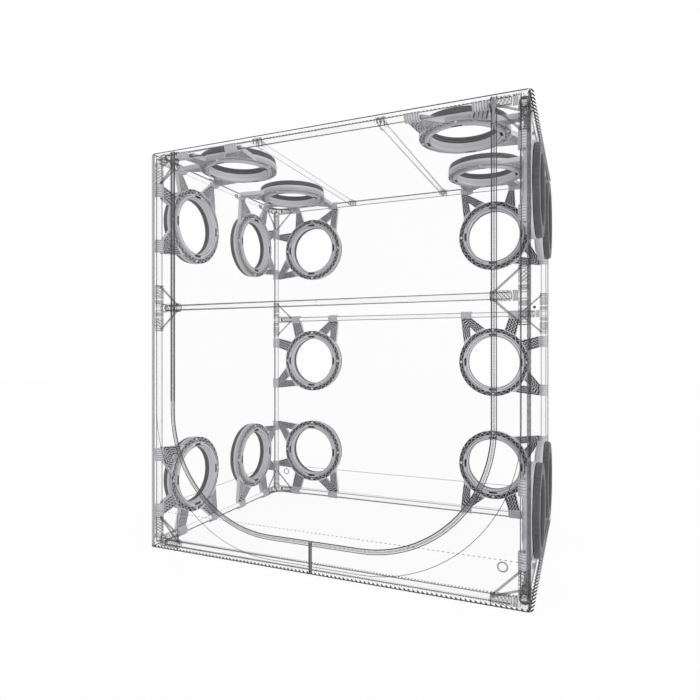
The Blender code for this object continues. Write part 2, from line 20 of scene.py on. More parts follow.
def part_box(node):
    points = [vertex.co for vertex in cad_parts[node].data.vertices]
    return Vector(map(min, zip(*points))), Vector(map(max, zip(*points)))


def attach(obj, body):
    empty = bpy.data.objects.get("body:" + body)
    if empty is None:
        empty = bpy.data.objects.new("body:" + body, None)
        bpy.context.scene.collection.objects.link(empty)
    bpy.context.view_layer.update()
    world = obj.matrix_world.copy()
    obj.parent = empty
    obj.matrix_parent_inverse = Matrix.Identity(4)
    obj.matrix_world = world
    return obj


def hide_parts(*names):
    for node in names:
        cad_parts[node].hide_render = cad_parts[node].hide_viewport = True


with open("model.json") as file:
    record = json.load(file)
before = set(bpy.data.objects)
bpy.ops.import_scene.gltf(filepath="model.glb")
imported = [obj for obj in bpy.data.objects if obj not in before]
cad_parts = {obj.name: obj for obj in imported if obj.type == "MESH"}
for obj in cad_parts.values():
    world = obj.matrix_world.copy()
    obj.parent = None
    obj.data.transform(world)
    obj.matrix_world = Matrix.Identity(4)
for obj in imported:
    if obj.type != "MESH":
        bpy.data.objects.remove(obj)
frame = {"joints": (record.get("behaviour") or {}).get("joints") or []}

Array = np.ndarray
LOG = logging.getLogger("grow_tent")
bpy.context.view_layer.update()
ROOT_BODY = "tent"
MM = 0.001
MERGE_DISTANCE = 1e-6
SHARP_ANGLE = math.radians(38)
# Name of the point attribute that carries painted shade.
SHADE_ATTRIBUTE = "recess"
X_AXIS, Y_AXIS, Z_AXIS = np.eye(3)
ENDS = ("front", "back")
SIDES = (("left", -1), ("right", 1))
C_ANGLES = np.radians(np.linspace(60, 300, 33))
ANGLE_SLACK = 1e-6


class Weave(Enum):
    """The thread pattern of a finish."""

    NONE = 0
    PLAIN = 1
    TWILL = 2


class Hold(Enum):
    """Which part of a full clip a port has on a tube: its low and high end as shares."""

    FULL = (-1.0, 1.0)
    CORNER = (0.0, 1.0)
    MIDDLE = (-1.0, 0.0)


@dataclass(frozen=True)
class Finish:
    """A procedural surface of two close tones with a grain, a gloss and worn edges, and where set a
    painted shade read from the mesh or a painted dark rim.
    """

    name: str
    slot: str
    tone: tuple[float, float, float]
    shade: tuple[float, float, float]
    roughness: float
    gloss_spread: float = 0.12
    metallic: float = 0.0
    cloud_scale: float = 14.0
    grain_scale: float = 700.0
    grain_depth: float = 0.00015
    wear: float = 0.0
    weave: Weave = Weave.NONE
    thread_pitch: float = 0.0009
    alpha: float = 1.0
    alpha_spread: float = 0.0
    # Opacity at grazing angles: a dark colour there is a painted shade along the silhouette.
    rim_alpha: float = 0.0
    rim_range: tuple[float, float] = (0.24, 0.54)
    # Colour of the painted shade that the mesh's shade attribute marks in pockets, grooves and
    # along some rims.
    painted_shade_tone: tuple[float, float, float] | None = None
    cloud_detail: float = 4.0
    grain_detail: float = 3.0
    edge_range: tuple[float, float] = (0.505, 0.56)
    worn_gain: float = 1.25
    worn_lift: float = 0.08
    least_thread: float = 0.5
    thread_tint: float = 0.55
    thread_relief: float = 2.0
    least_roughness: float = 0.02
    bump_strength: float = 0.6

    def material(self) -> Material:
        """Build the node material once and keep it.

        Returns:
            The Blender material of this finish.
        """
        made = bpy.data.materials.get(self.name)
        if made is not None:
            return made
        made = bpy.data.materials.new(self.name)
        made.use_nodes = True
        graph = Graph(made)
        shader = made.node_tree.nodes["Principled BSDF"]
        shader.inputs["Metallic"].default_value = self.metallic
        shader.inputs["Alpha"].default_value = self.alpha
        place = graph.add("ShaderNodeTexCoord").outputs["Object"]
        cloud = graph.noise(place, self.cloud_scale, self.cloud_detail)
        grain = graph.noise(place, self.grain_scale, self.grain_detail)
        tone = graph.mix_tone(cloud, self.tone, self.shade)
        if self.wear:
            geometry = graph.add("ShaderNodeNewGeometry")
            edge = graph.ramp(geometry.outputs["Pointiness"], *self.edge_range)
            worn = graph.math("MULTIPLY", edge, graph.math("MULTIPLY", grain, self.wear))
            light = tuple(min(1.0, channel * self.worn_gain + self.worn_lift)
                          for channel in self.tone)
            tone = graph.mix_tone(worn, tone, light)
        # Painted shade: the tone turns towards the shade colour as far as the mesh's shade
        # attribute says.
        if self.painted_shade_tone:
            recess = graph.add("ShaderNodeAttribute")
            recess.attribute_name = SHADE_ATTRIBUTE
            tone = graph.mix_tone(recess.outputs["Fac"], tone, self.painted_shade_tone)
        # Painted rim shade: the finish turns opaque towards grazing angles, so its dark colour
        # shows as a dark outline.
        if self.rim_alpha:
            weight = graph.add("ShaderNodeLayerWeight")
            rim = graph.ramp(weight.outputs["Facing"], *self.rim_range)
            # Painted shade also makes a see-through finish opaque where it is painted.
            if self.painted_shade_tone:
                rim = graph.math("MAXIMUM", rim, recess.outputs["Fac"])
            graph.join(graph.spread(rim, self.alpha, self.rim_alpha), shader.inputs["Alpha"])
        height = grain
        if self.weave is not Weave.NONE:
            threads = self.threads(graph, place)
            tint = graph.math("MULTIPLY", threads, self.thread_tint)
            tone = graph.mix_tone(tint, tone, self.shade)
            relief = graph.math("MULTIPLY", threads, self.thread_relief)
            height = graph.math("ADD", relief, grain)
            if self.alpha_spread:
                fine = graph.math("MULTIPLY", threads, self.alpha_spread)
                graph.join(graph.math("ADD", fine, self.alpha), shader.inputs["Alpha"])
        graph.join(tone, shader.inputs["Base Color"])
        low = max(self.least_roughness, self.roughness - self.gloss_spread / 2)
        graph.join(graph.spread(cloud, low, low + self.gloss_spread), shader.inputs["Roughness"])
        bump = graph.add("ShaderNodeBump")
        bump.inputs["Distance"].default_value = self.grain_depth
        bump.inputs["Strength"].default_value = self.bump_strength
        graph.join(height, bump.inputs["Height"])
        graph.join(bump.outputs["Normal"], shader.inputs["Normal"])
        return made

    def threads(self, graph: "Graph", place: NodeSocket) -> NodeSocket:
        """Crossing sine bands along the three axes, multiplied in pairs.

        Args:
            graph: the material's graph.
            place: the Object coordinate.

        Returns:
            A socket between 0 and 1, high between the threads.
        """
        turns = 2 * math.pi / self.thread_pitch
        split = graph.add("ShaderNodeSeparateXYZ")
        graph.join(place, split.inputs[0])
        axes = list(split.outputs)
        if self.weave is Weave.TWILL:
            axes[2] = graph.math("ADD", split.outputs[2], split.outputs[0])
        waves = [graph.math("SINE", graph.math("MULTIPLY", axis, turns)) for axis in axes]
        total = graph.math("ADD", graph.math("MULTIPLY", waves[0], waves[1]),
                           graph.math("MULTIPLY", waves[1], waves[2]))
        total = graph.math("ADD", total, graph.math("MULTIPLY", waves[0], waves[2]))
        return graph.spread(total, self.least_thread, 1.0)


class Graph:
    """Short calls to add and join the nodes of one material or of the world."""

    def __init__(self, owner: Material | bpy.types.World) -> None:
        """Take the owner's node tree."""
        self.tree = owner.node_tree

    def add(self, kind: str) -> Node:
        """Add a node of this kind."""
        return self.tree.nodes.new(kind)

    def join(self, source: object, target: NodeSocket) -> None:
        """Link a socket, or set a number or a colour.

        Args:
            source: a socket, a number or a colour of three numbers.
            target: the input socket.
        """
        if isinstance(source, NodeSocket):
            self.tree.links.new(source, target)
        elif isinstance(source, tuple):
            target.default_value = (*source, 1.0)
        else:
            target.default_value = source

    def noise(self, place: NodeSocket, scale: float, detail: float) -> NodeSocket:
        """Smooth noise between 0 and 1.

        Args:
            place: the coordinate socket.
            scale: patches per metre.
            detail: octaves.

        Returns:
            The noise's factor socket.
        """
        node = self.add("ShaderNodeTexNoise")
        node.inputs["Scale"].default_value = scale
        node.inputs["Detail"].default_value = detail
        self.join(place, node.inputs["Vector"])
        return node.outputs["Fac"]

    def math(self, operation: str, first: object, second: object = 0.0) -> NodeSocket:
        """A Math node of two values.

        Args:
            operation: the node's operation.
            first: a socket or a number.
            second: a socket or a number, unused by a sine.

        Returns:
            The result's socket.
        """
        node = self.add("ShaderNodeMath")
        node.operation = operation
        self.join(first, node.inputs[0])
        self.join(second, node.inputs[1])
        return node.outputs[0]

    def map_range(self, value: NodeSocket, side: str, low: float, high: float) -> Node:
        """A clamped Map Range node between 0 to 1 and another range.

        Args:
            value: the socket to map.
            side: which range is the other one, From or To.
            low: its low end.
            high: its high end.

        Returns:
            The node.
        """
        node = self.add("ShaderNodeMapRange")
        self.join(value, node.inputs["Value"])
        self.join(low, node.inputs[f"{side} Min"])
        self.join(high, node.inputs[f"{side} Max"])
        return node

    def ramp(self, value: NodeSocket, low: float, high: float) -> NodeSocket:
        """Map low to 0 and high to 1, smoothly and clamped.

        Args:
            value: the socket to map.
            low: what becomes 0.
            high: what becomes 1.

        Returns:
            The result's socket.
        """
        node = self.map_range(value, "From", low, high)
        node.interpolation_type = "SMOOTHSTEP"
        return node.outputs["Result"]

    def spread(self, value: NodeSocket, low: float, high: float) -> NodeSocket:
        """Map 0 to low and 1 to high, clamped."""
        return self.map_range(value, "To", low, high).outputs["Result"]

    def mix_tone(self, factor: object, first: object, second: object) -> NodeSocket:
        """Blend two colours.

        Args:
            factor: a socket or a number, 0 for the first.
            first: a socket or a colour.
            second: a socket or a colour.

        Returns:
            The blend's socket.
        """
        node = self.add("ShaderNodeMix")
        node.data_type = "RGBA"
        self.join(factor, node.inputs[0])
        self.join(first, node.inputs[6])
        self.join(second, node.inputs[7])
        return node.outputs[2]

    def lit_or_seen(self, lit: NodeSocket, seen: NodeSocket, share: float = 1.0) -> NodeSocket:
        """One shader for what it lights, another for camera, glossy and transmission rays.

        Args:
            lit: the shader for every other ray.
            seen: the shader that is seen, mirrored or looked at through glass.
            share: how much of the second those rays get.

        Returns:
            The blend's socket.
        """
        path = self.add("ShaderNodeLightPath").outputs
        straight = self.math("MAXIMUM", path["Is Camera Ray"], path["Is Glossy Ray"])
        straight = self.math("MAXIMUM", straight, path["Is Transmission Ray"])
        node = self.add("ShaderNodeMixShader")
        self.join(self.math("MULTIPLY", straight, share), node.inputs[0])
        self.join(lit, node.inputs[1])
        self.join(seen, node.inputs[2])
        return node.outputs[0]


# Tubes, crossbars and connectors are almost see-through, in a dark colour that turns opaque at
# grazing angles: a painted shade along every silhouette. The connectors' dark last colour is
# painted shade in their grooves.
TUBE_RIM_SHADE = Finish("clear_tube", "frame_tube", (0.10, 0.10, 0.105), (0.06, 0.06, 0.065), 0.3,
                   grain_scale=420.0, grain_depth=0.00004, alpha=0.03, rim_alpha=0.95)
CROSSBAR_RIM_SHADE = replace(TUBE_RIM_SHADE, name="clear_crossbar", alpha=0.02, rim_range=(0.62, 0.88))
CONNECTOR = Finish("clear_connector", "connector_plastic", (0.30, 0.30, 0.31),
                   (0.20, 0.20, 0.21), 0.46, painted_shade_tone=(0.015, 0.015, 0.015), alpha=0.05,
                   rim_alpha=0.85, rim_range=(0.70, 0.95))
# The plate's dark last colour is the painted shade in its pockets, grooves and rims.
PLATE_PLASTIC = Finish("port_plate_plastic", "port_plastic", (0.73, 0.72, 0.76),
                       (0.65, 0.64, 0.68), 0.42, wear=0.4, painted_shade_tone=(0.06, 0.06, 0.065))
RING_PLASTIC = Finish("lock_ring_plastic", "ring_plastic", (0.10, 0.10, 0.105),
                      (0.055, 0.055, 0.06), 0.50, wear=0.6)
FILM = Finish("cover_cloth", "cover_film", (0.93, 0.94, 0.95), (0.80, 0.81, 0.84), 0.5,
              weave=Weave.PLAIN, thread_pitch=0.0016, alpha=0.006, alpha_spread=0.012)
# Painted shade: the right front upright's binding, dark for the shade on that side of the tent,
# where the left one is pale.
SHADED_BINDING = Finish("clear_edge_tape", "trim_fabric", (0.07, 0.07, 0.075), (0.03, 0.03, 0.035),
                   0.75, weave=Weave.TWILL, thread_pitch=0.0011, grain_depth=0.0003, alpha=0.4,
                   alpha_spread=0.2)
PALE_BINDING = Finish("pale_binding", "trim_fabric", (0.80, 0.80, 0.82), (0.62, 0.62, 0.65), 0.7,
                      weave=Weave.TWILL, thread_pitch=0.0010, grain_depth=0.0002)
ZIP_TAPE = Finish("clear_zip_tape", "trim_fabric", (0.55, 0.55, 0.57), (0.40, 0.40, 0.42), 0.6,
                  weave=Weave.PLAIN, thread_pitch=0.0009, alpha=0.04, alpha_spread=0.10)
STRAP_WEBBING = Finish("strap_webbing", "trim_fabric", (0.32, 0.32, 0.33), (0.20, 0.20, 0.21),
                       0.7, weave=Weave.TWILL, thread_pitch=0.0012, grain_depth=0.0003)
SEAL_RUBBER = Finish("seal_rubber", "connector_plastic", (0.06, 0.06, 0.065),
                     (0.035, 0.035, 0.04), 0.6)
THREAD = Finish("sewing_thread", "trim_fabric", (0.045, 0.045, 0.05), (0.02, 0.02, 0.025), 0.7,
                grain_scale=1500.0)
NYLON = Finish("zip_nylon", "trim_fabric", (0.08, 0.08, 0.085), (0.045, 0.045, 0.05), 0.4)
METAL = Finish("zip_metal", "zip_metal", (0.42, 0.42, 0.44), (0.30, 0.30, 0.32), 0.3,
               metallic=0.9, wear=0.8)
BRIGHT = Finish("screw_metal", "zip_metal", (0.86, 0.86, 0.88), (0.76, 0.76, 0.78), 0.28,
                metallic=0.5, wear=0.3)


class Shape:
    """Points, their painted shade and quads gathered from numpy surfaces, made into closed shells.
    """

    def __init__(self) -> None:
        """Start with nothing."""
        self.points: list[Array] = []
        self.painted_shades: list[Array] = []
        self.quads: list[Array] = []
        self.count = 0

    def grid(self, points: Array, wrap_u: bool = False, wrap_v: bool = False,
             keep: Array | None = None, recess: Array | float = 0.0) -> Array:
        """Add a surface given as a grid of points, or many equal ones at once.

        Args:
            points: rows x columns x 3, or copies x rows x columns x 3.
            wrap_u: join the last row to the first.
            wrap_v: join the last column to the first.
            keep: which cells to make, all of them if None.
            recess: how much painted shade each point gets, 0 to 1, most in grooves and pockets.

        Returns:
            The points' numbers, in the same rows and columns.
        """
        index = np.arange(points.size // 3).reshape(points.shape[:-1]) + self.count
        self.points.append(points.reshape(-1, 3))
        self.painted_shades.append(np.broadcast_to(recess, index.shape).ravel())
        self.count += index.size
        full = np.concatenate([index, index[..., :1, :]], -2) if wrap_u else index
        full = np.concatenate([full, full[..., :1]], -1) if wrap_v else full
        quads = np.stack([full[..., :-1, :-1], full[..., 1:, :-1], full[..., 1:, 1:],
                          full[..., :-1, 1:]], -1)
        self.quads.append((quads if keep is None else quads[keep]).reshape(-1, 4))
        return index

    def bridge(self, first: Array, second: Array) -> None:
        """Join two rows of points, given by their numbers, with quads."""
        self.quads.append(np.stack([first[:-1], first[1:], second[1:], second[:-1]], -1))

    def shell(self, first: Array, second: Array, recess: Array | float = 0.0) -> None:
        """A closed slab between two grids, with walls round the border.

        Args:
            first: one side's points, rows x columns x 3.
            second: the other side's, of the same size.
            recess: how much painted shade the first side's points get.
        """
        top, bottom = self.grid(first, recess=recess), self.grid(second)
        for column in (0, -1):
            self.bridge(top[:, column], bottom[:, column])
        for row in (0, -1):
            self.bridge(top[row], bottom[row])

    def mesh(self, name: str, outward: Array | None = None) -> Mesh:
        """Make one mesh: doubles merged, flat cells dropped, normals outwards, painted shade kept
        on the points.

        Args:
            name: the mesh's name.
            outward: which way an open sheet faces.

        Returns:
            The finished mesh, smooth but for its sharp edges.
        """
        points = np.concatenate(self.points).astype(np.float32)
        quads = np.concatenate(self.quads).astype(np.int32)
        raw = bpy.data.meshes.new(name)
        raw.vertices.add(len(points))
        raw.vertices.foreach_set("co", points.ravel())
        raw.loops.add(quads.size)
        raw.loops.foreach_set("vertex_index", quads.ravel())
        raw.polygons.add(len(quads))
        raw.polygons.foreach_set("loop_start", np.arange(0, quads.size, 4, dtype=np.int32))
        raw.update(calc_edges=True)
        # The painted shade goes on the points as an attribute that the finishes read.
        recess = np.concatenate(self.painted_shades).astype(np.float32)
        if recess.any():
            raw.attributes.new(SHADE_ATTRIBUTE, "FLOAT", "POINT").data.foreach_set("value", recess)
        bm = bmesh.new()
        bm.from_mesh(raw)
        bmesh.ops.remove_doubles(bm, verts=bm.verts, dist=MERGE_DISTANCE)
        bmesh.ops.dissolve_degenerate(bm, dist=MERGE_DISTANCE, edges=bm.edges)
        bmesh.ops.recalc_face_normals(bm, faces=bm.faces)
        if outward is not None:
            facing = sum(face.normal.dot(Vector(outward)) for face in bm.faces)
            if facing < 0:
                bmesh.ops.reverse_faces(bm, faces=bm.faces)
        bm.to_mesh(raw)
        bm.free()
        raw.shade_smooth()
        raw.set_sharp_from_angle(angle=SHARP_ANGLE)
        return raw


def piece(name: str, mesh: Mesh, finish: Finish, body: str,
          replaced: tuple[str, ...] = ()) -> Object:
    """Link a finished mesh as a piece of the tent.

    Args:
        name: the piece's name.
        mesh: its mesh, at its real place.
        finish: its surface.
        body: the body it moves with.
        replaced: the nodes it stands for.

    Returns:
        The new object.
    """
    mesh.materials.clear()
    mesh.materials.append(finish.material())
    made = bpy.data.objects.new(name, mesh)
    bpy.context.scene.collection.objects.link(made)
    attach(made, body)
    if replaced:
        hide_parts(*replaced)
    LOG.info("%s: %d faces", name, len(mesh.polygons))
    return made


def polar_grid(radius: Array, height: Array, angles: Array) -> Array:
    """Points at x = r cos a, y = r sin a, z = h, one row for each angle.

    Args:
        radius: r of each column, or of each row and column.
        height: h, likewise.
        angles: m angles in radians.

    Returns:
        m x n x 3 points.
    """
    x = np.cos(angles)[:, None] * radius
    y = np.sin(angles)[:, None] * radius
    return np.stack([x, y, np.broadcast_to(height, x.shape)], -1)


def turned(profile: Array, angles: Array) -> Array:
    """Revolve n x 2 points (radius, height): m x n x 3 points for m angles."""
    return polar_grid(profile[:, 0], profile[:, 1], angles)


def around(count: int) -> Array:
    """Evenly spread angles for one full turn, the end left out."""
    return np.arange(count) * (2 * math.pi / count)


def on_axis(points: Array, origin: Array, axis: Array, side: Array | None = None) -> Array:
    """Carry points with their third axis along axis and their first along side.

    Args:
        points: any grid of points.
        origin: where the local origin goes.
        axis: unit direction of the local third axis.
        side: unit direction of the local first axis, any one square to axis if None.

    Returns:
        The moved points.
    """
    if side is None:
        side = np.cross(axis, X_AXIS if abs(axis[0]) < 0.5 else Y_AXIS)
        side = side / np.linalg.norm(side)
    return points @ np.stack([side, np.cross(axis, side), axis]) + origin


def add_bar(shape: Shape, profile: Array, path: Array, up: Array) -> None:
    """Carry a closed section along a path, with flat ends: point = path + a side + b up.

    The side is the cross product of the path's direction and up, both of unit length.

    Args:
        shape: where it goes.
        profile: k x 2 values (a, b).
        path: n x 3 points, in a plane square to up.
        up: unit direction, the same all along.
    """
    ahead = np.gradient(path, axis=0)
    ahead /= np.linalg.norm(ahead, axis=1)[:, None]
    side = np.cross(ahead, up)
    side /= np.linalg.norm(side, axis=1)[:, None]
    rows = path[:, None] + profile[None, :, :1] * side[:, None] + profile[None, :, 1:] * up
    caps = np.broadcast_to(rows[[0, -1]].mean(1)[:, None], (2, *rows.shape[1:]))
    shape.grid(np.concatenate([caps[:1], rows, caps[1:]]), wrap_v=True)


def round_section(radius: float, sides: int) -> Array:
    """A circle's points as a profile."""
    angles = around(sides)
    return radius * np.stack([np.cos(angles), np.sin(angles)], -1)


def flat_section(width: float, low: float, high: float) -> Array:
    """A flat band's section with its edges cut off by a quarter of its thickness.

    Args:
        width: the band's width.
        low: its lower face.
        high: its upper face.

    Returns:
        8 x 2 points.
    """
    half, cut = width / 2, (high - low) / 4
    return np.array([(-half, low + cut), (-half + cut, low), (half - cut, low), (half, low + cut),
                     (half, high - cut), (half - cut, high), (-half + cut, high),
                     (-half, high - cut)])


def comb(count: int, wall: float, slope: float) -> tuple[Array, Array]:
    """Lines across a row of pockets: where they are, and which lie on a pocket's floor.

    Args:
        count: how many pockets.
        wall: a wall's width as a share of the pitch.
        slope: the run of a pocket's side as a share of the pitch.

    Returns:
        Places from 0 to 1, and a flag for each.
    """
    pitch = 1 / count
    starts = np.arange(count) * pitch
    lines = np.stack([starts + wall / 2 * pitch, starts + (wall / 2 + slope) * pitch,
                      starts + (1 - wall / 2 - slope) * pitch, starts + (1 - wall / 2) * pitch], 1)
    floor = np.tile([False, True, True, False], count)
    return np.concatenate([[0], lines.ravel(), [1]]), np.concatenate([[False], floor, [False]])


def lerp(first: Array, second: Array, shares: Array) -> Array:
    """Points or rows of points from first to second, one for each share."""
    return first + (second - first) * shares.reshape(-1, *[1] * first.ndim)


def box_of(node: str) -> tuple[Array, Array]:
    """The low and the high corner of a CAD node's box."""
    low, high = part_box(node)
    return np.array(low), np.array(high)


def middle_of(node: str) -> Array:
    """The middle of a CAD node's box."""
    low, high = box_of(node)
    return (low + high) / 2


@dataclass(frozen=True)
class Layout:
    """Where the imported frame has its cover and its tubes."""

    low: Array
    high: Array
    post_x: float
    post_y: tuple[float, float]
    bar_z: tuple[float, float, float]
    tube: float

    @classmethod
    def read(cls) -> "Layout":
        """Take the places from the boxes of the panels and the bars.

        Returns:
            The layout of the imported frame.
        """
        bars = [middle_of(f"front_{level}_bar") for level in ("bottom", "middle", "top")]
        low, high = box_of("front_top_bar")
        return cls(box_of("floor_panel")[0], box_of("roof_panel")[1],
                   middle_of("right_top_bar")[0], (bars[0][1], middle_of("back_top_bar")[1]),
                   tuple(bar[2] for bar in bars), (high[2] - low[2]) / 2)


@dataclass(frozen=True)
class PortPlace:
    """A duct port's centre, its three directions and its share of its two tubes."""

    name: str
    centre: Array
    first: Array
    second: Array
    normal: Array
    holds: tuple[Hold, Hold]

    def put(self, source: Mesh) -> Mesh:
        """Copy a mesh from the port's own frame to its place.

        Args:
            source: the mesh, third axis outwards.

        Returns:
            The copy.
        """
        matrix = Matrix((self.first, self.second, self.normal)).transposed().to_4x4()
        matrix.translation = Vector(self.centre)
        made = source.copy()
        made.transform(matrix)
        return made


def hold_on(name: str, axis: int) -> Hold:
    """Which part of a clip a port has on its tube along this axis.

    Args:
        name: the port's name.
        axis: 0, 1 or 2.

    Returns:
        The hold: a tube that two walls clip to gives each one half of the length.
    """
    if name.startswith("roof"):
        corner = axis == 0 and "back" in name
        return Hold.MIDDLE if axis == 1 else Hold.CORNER if corner else Hold.FULL
    if name.startswith("back"):
        shared = "middle" not in name and (axis == 2 or "upper" in name)
        return Hold.MIDDLE if shared else Hold.FULL
    shared = name.endswith("back") if axis == 2 else "upper" in name
    return Hold.CORNER if shared else Hold.FULL


def port_places() -> list[PortPlace]:
    """Every duct port, read from the twist joint of its lock ring.

    Returns:
        The ports' places, in the order of the joints.
    """
    places = []
    for joint in frame["joints"]:
        if not joint["name"].startswith("twist_"):
            continue
        name = joint["name"].removeprefix("twist_")
        centre, normal = np.array(joint["pos_m"]), np.array(joint["axis"])
        towards = np.sign(middle_of(f"port_plate_{name}") - centre)
        axes = [axis for axis in range(3) if abs(normal[axis]) < 0.5]
        first, second = (np.eye(3)[axis] * towards[axis] for axis in axes)
        if np.dot(np.cross(first, second), normal) < 0:
            first, second = second, first
            axes.reverse()
        holds = tuple(hold_on(name, axis) for axis in axes)
        places.append(PortPlace(name, centre, first, second, normal, holds))
    return places


@dataclass
class PortPlate:
    """The inner half of a duct port: collar, waffle band, two legs, two forks, four clips.

    Its own frame lies on the tubes' plane, third axis outwards, first two towards the tubes.
    """

    top: float = 0.0112
    collar_bottom: float = -0.0088
    collar_rib: float = 0.0010
    collar_groove: float = 0.0013
    band_bottom: float = -0.0048
    pocket_floor: float = 0.003
    least_pocket: float = 0.0010
    zigzags: int = 36
    rib_middle: float = 0.0935
    rib_swing: float = 0.0043
    rib_lines: tuple[float, ...] = (-0.95, -0.65, 0.65, 0.95)
    arc_half: float = math.radians(25)
    slot_half: float = math.radians(7.8)
    # Painted shade, 0 to 1, at the collar's throat, along the band's outer rim and in the clips'
    # grooves.
    throat_shade: float = 0.8
    rim_shade: float = 0.3
    clip_shade: float = 0.38
    channels: int = 4
    channel_wall: float = 0.30
    channel_slope: float = 0.06
    channel_wave: float = 0.28
    channel_fade: float = 0.35
    leg_bends: int = 5
    fork_bends: int = 9
    foot_radius: float = 0.0985
    leg_feet: tuple[float, ...] = (71, 50)
    fork_feet: tuple[float, ...] = (150, 132.5, 120, 102)
    crotch: float = 0.49
    crotch_half: float = 0.0006
    reach: float = 0.140
    near_clip: float = 0.060
    far_clip: float = -0.078
    clip_length: float = 0.032
    clip_gap: float = 0.00015
    clip_bore: float = 0.0083
    clip_radius: float = 0.0112
    clip_groove: float = 0.0011
    clip_grooves: int = 6
    clip_wall: float = 0.55
    clip_slope: float = 0.08
    clip_pad: float = 0.0103
    neck_overlap: float = 0.0002
    arm_lip: float = 0.06
    arm_rim: float = 0.07
    arm_bottom: float = -0.0043
    arm_floor: float = 0.0042
    arm_top: float = 0.0067
    screw_radius: float = 0.0935

    def body(self, shape: Shape) -> None:
        """Collar and band: a closed profile turned round the bore.

        The point at angle a and profile step k is (r cos a, r sin a, z). In the band a rib
        zigzags between two rims, r = middle + swing (2 |2 t - 1| - 1) with t = a / pitch mod 1,
        and z drops to the pocket floor beside it. Four slots pass through the collar, and an
        arc rib with a groove stands between them. Painted shade darkens the pocket floors, the
        groove, the slots' mouths, the throat and the outer rim.

        Args:
            shape: where it goes.
        """
        c, b, t = self.collar_bottom, self.band_bottom, self.top
        rows = [(75.0, c + 1.7 * MM), (76.5, c + 0.2 * MM), (76.8, c + 0.9 * MM),
                (77.7, c + 0.9 * MM), (78.0, c), (78.5, c), (83.5, c), (83.8, c), (84.9, c),
                (85.1, c), (86.4, c), (86.6, c), (87.0, c), (87.0, b), (87.9, b), (88.2, b),
                (92.6, b), (92.9, b), (94.1, b), (94.4, b), (98.8, b), (99.1, b), (99.5, b),
                (100.0, b + 0.6 * MM), (100.0, 3.2 * MM), (99.4, 3.6 * MM), (99.4, 4.8 * MM),
                (100.0, 5.2 * MM), (100.0, t - 0.6 * MM), (99.4, t), (83.5, t), (78.5, t),
                (75.6, t), (75.0, t - 0.6 * MM), (75.0, 2.4 * MM), (75.6, 2.0 * MM),
                (75.6, -1.6 * MM), (75.0, -2.0 * MM)]
        throat, near, groove, rib, pocket, rim, back = (rows.index(row) for row in (
            (76.8, c + 0.9 * MM), (78.5, c), (83.8, c), (85.1, c), (88.2, b), (99.5, b),
            (83.5, t)))
        profile = np.array([(radius * MM, height) for radius, height in rows])
        quarters = around(4)
        ends = np.concatenate([quarters - self.slot_half, quarters + self.slot_half])
        angles = np.sort(np.concatenate([around(self.zigzags * 8), ends % (2 * math.pi)]))
        radius, height = (np.tile(column, (len(angles), 1)) for column in profile.T)
        turn = angles / (2 * math.pi) * self.zigzags % 1
        centre = self.rib_middle + self.rib_swing * (2 * abs(2 * turn - 1) - 1)
        limits = profile[pocket, 0] + 0.1 * MM, profile[pocket + 5, 0] - 0.1 * MM
        lines = centre[:, None] + np.array(self.rib_lines) * MM
        radius[:, pocket + 1:pocket + 5] = np.clip(lines, *limits)
        for step in (pocket, pocket + 4):
            deep = radius[:, step + 1] - radius[:, step] > self.least_pocket
            height[deep, step:step + 2] = self.pocket_floor
        diagonal = abs(angles % (math.pi / 2) - math.pi / 4) < self.arc_half
        height[diagonal, groove:groove + 2] += self.collar_groove
        height[diagonal, rib:rib + 2] -= self.collar_rib
        # Painted shade: full on the band's pocket floors, in the collar's groove and the slots'
        # mouths, partial at the throat and the outer rim.
        shade_amount = (height - profile[:, 1]).clip(0) / (self.pocket_floor - b)
        shade_amount[:, throat:throat + 2] = self.throat_shade
        shade_amount[diagonal, groove:groove + 2] = 1
        shade_amount[:, rim:rim + 3] = self.rim_shade
        middle = angles + np.diff(angles, append=angles[0] + 2 * math.pi) / 2
        window = (middle + self.slot_half) % (math.pi / 2) < 2 * self.slot_half
        slack = self.slot_half + ANGLE_SLACK
        mouth = (angles + slack) % (math.pi / 2) < 2 * slack
        keep = np.ones(radius.shape, bool)
        for step in (near, back):
            shade_amount[mouth, step:step + 2] = 1
            keep[window, step] = False
        index = shape.grid(polar_grid(radius, height, angles), True, True, keep, shade_amount)
        for quarter in quarters:
            away = (angles - quarter + math.pi) % (2 * math.pi) - math.pi
            run = np.flatnonzero(abs(away) < slack)
            run = run[np.argsort(away[run])]
            shape.bridge(index[run, near], index[run, back + 1])
            shape.bridge(index[run, near + 1], index[run, back])
            for end in (run[0], run[-1]):
                shape.bridge(index[end, near:near + 2], index[end, [back + 1, back]])

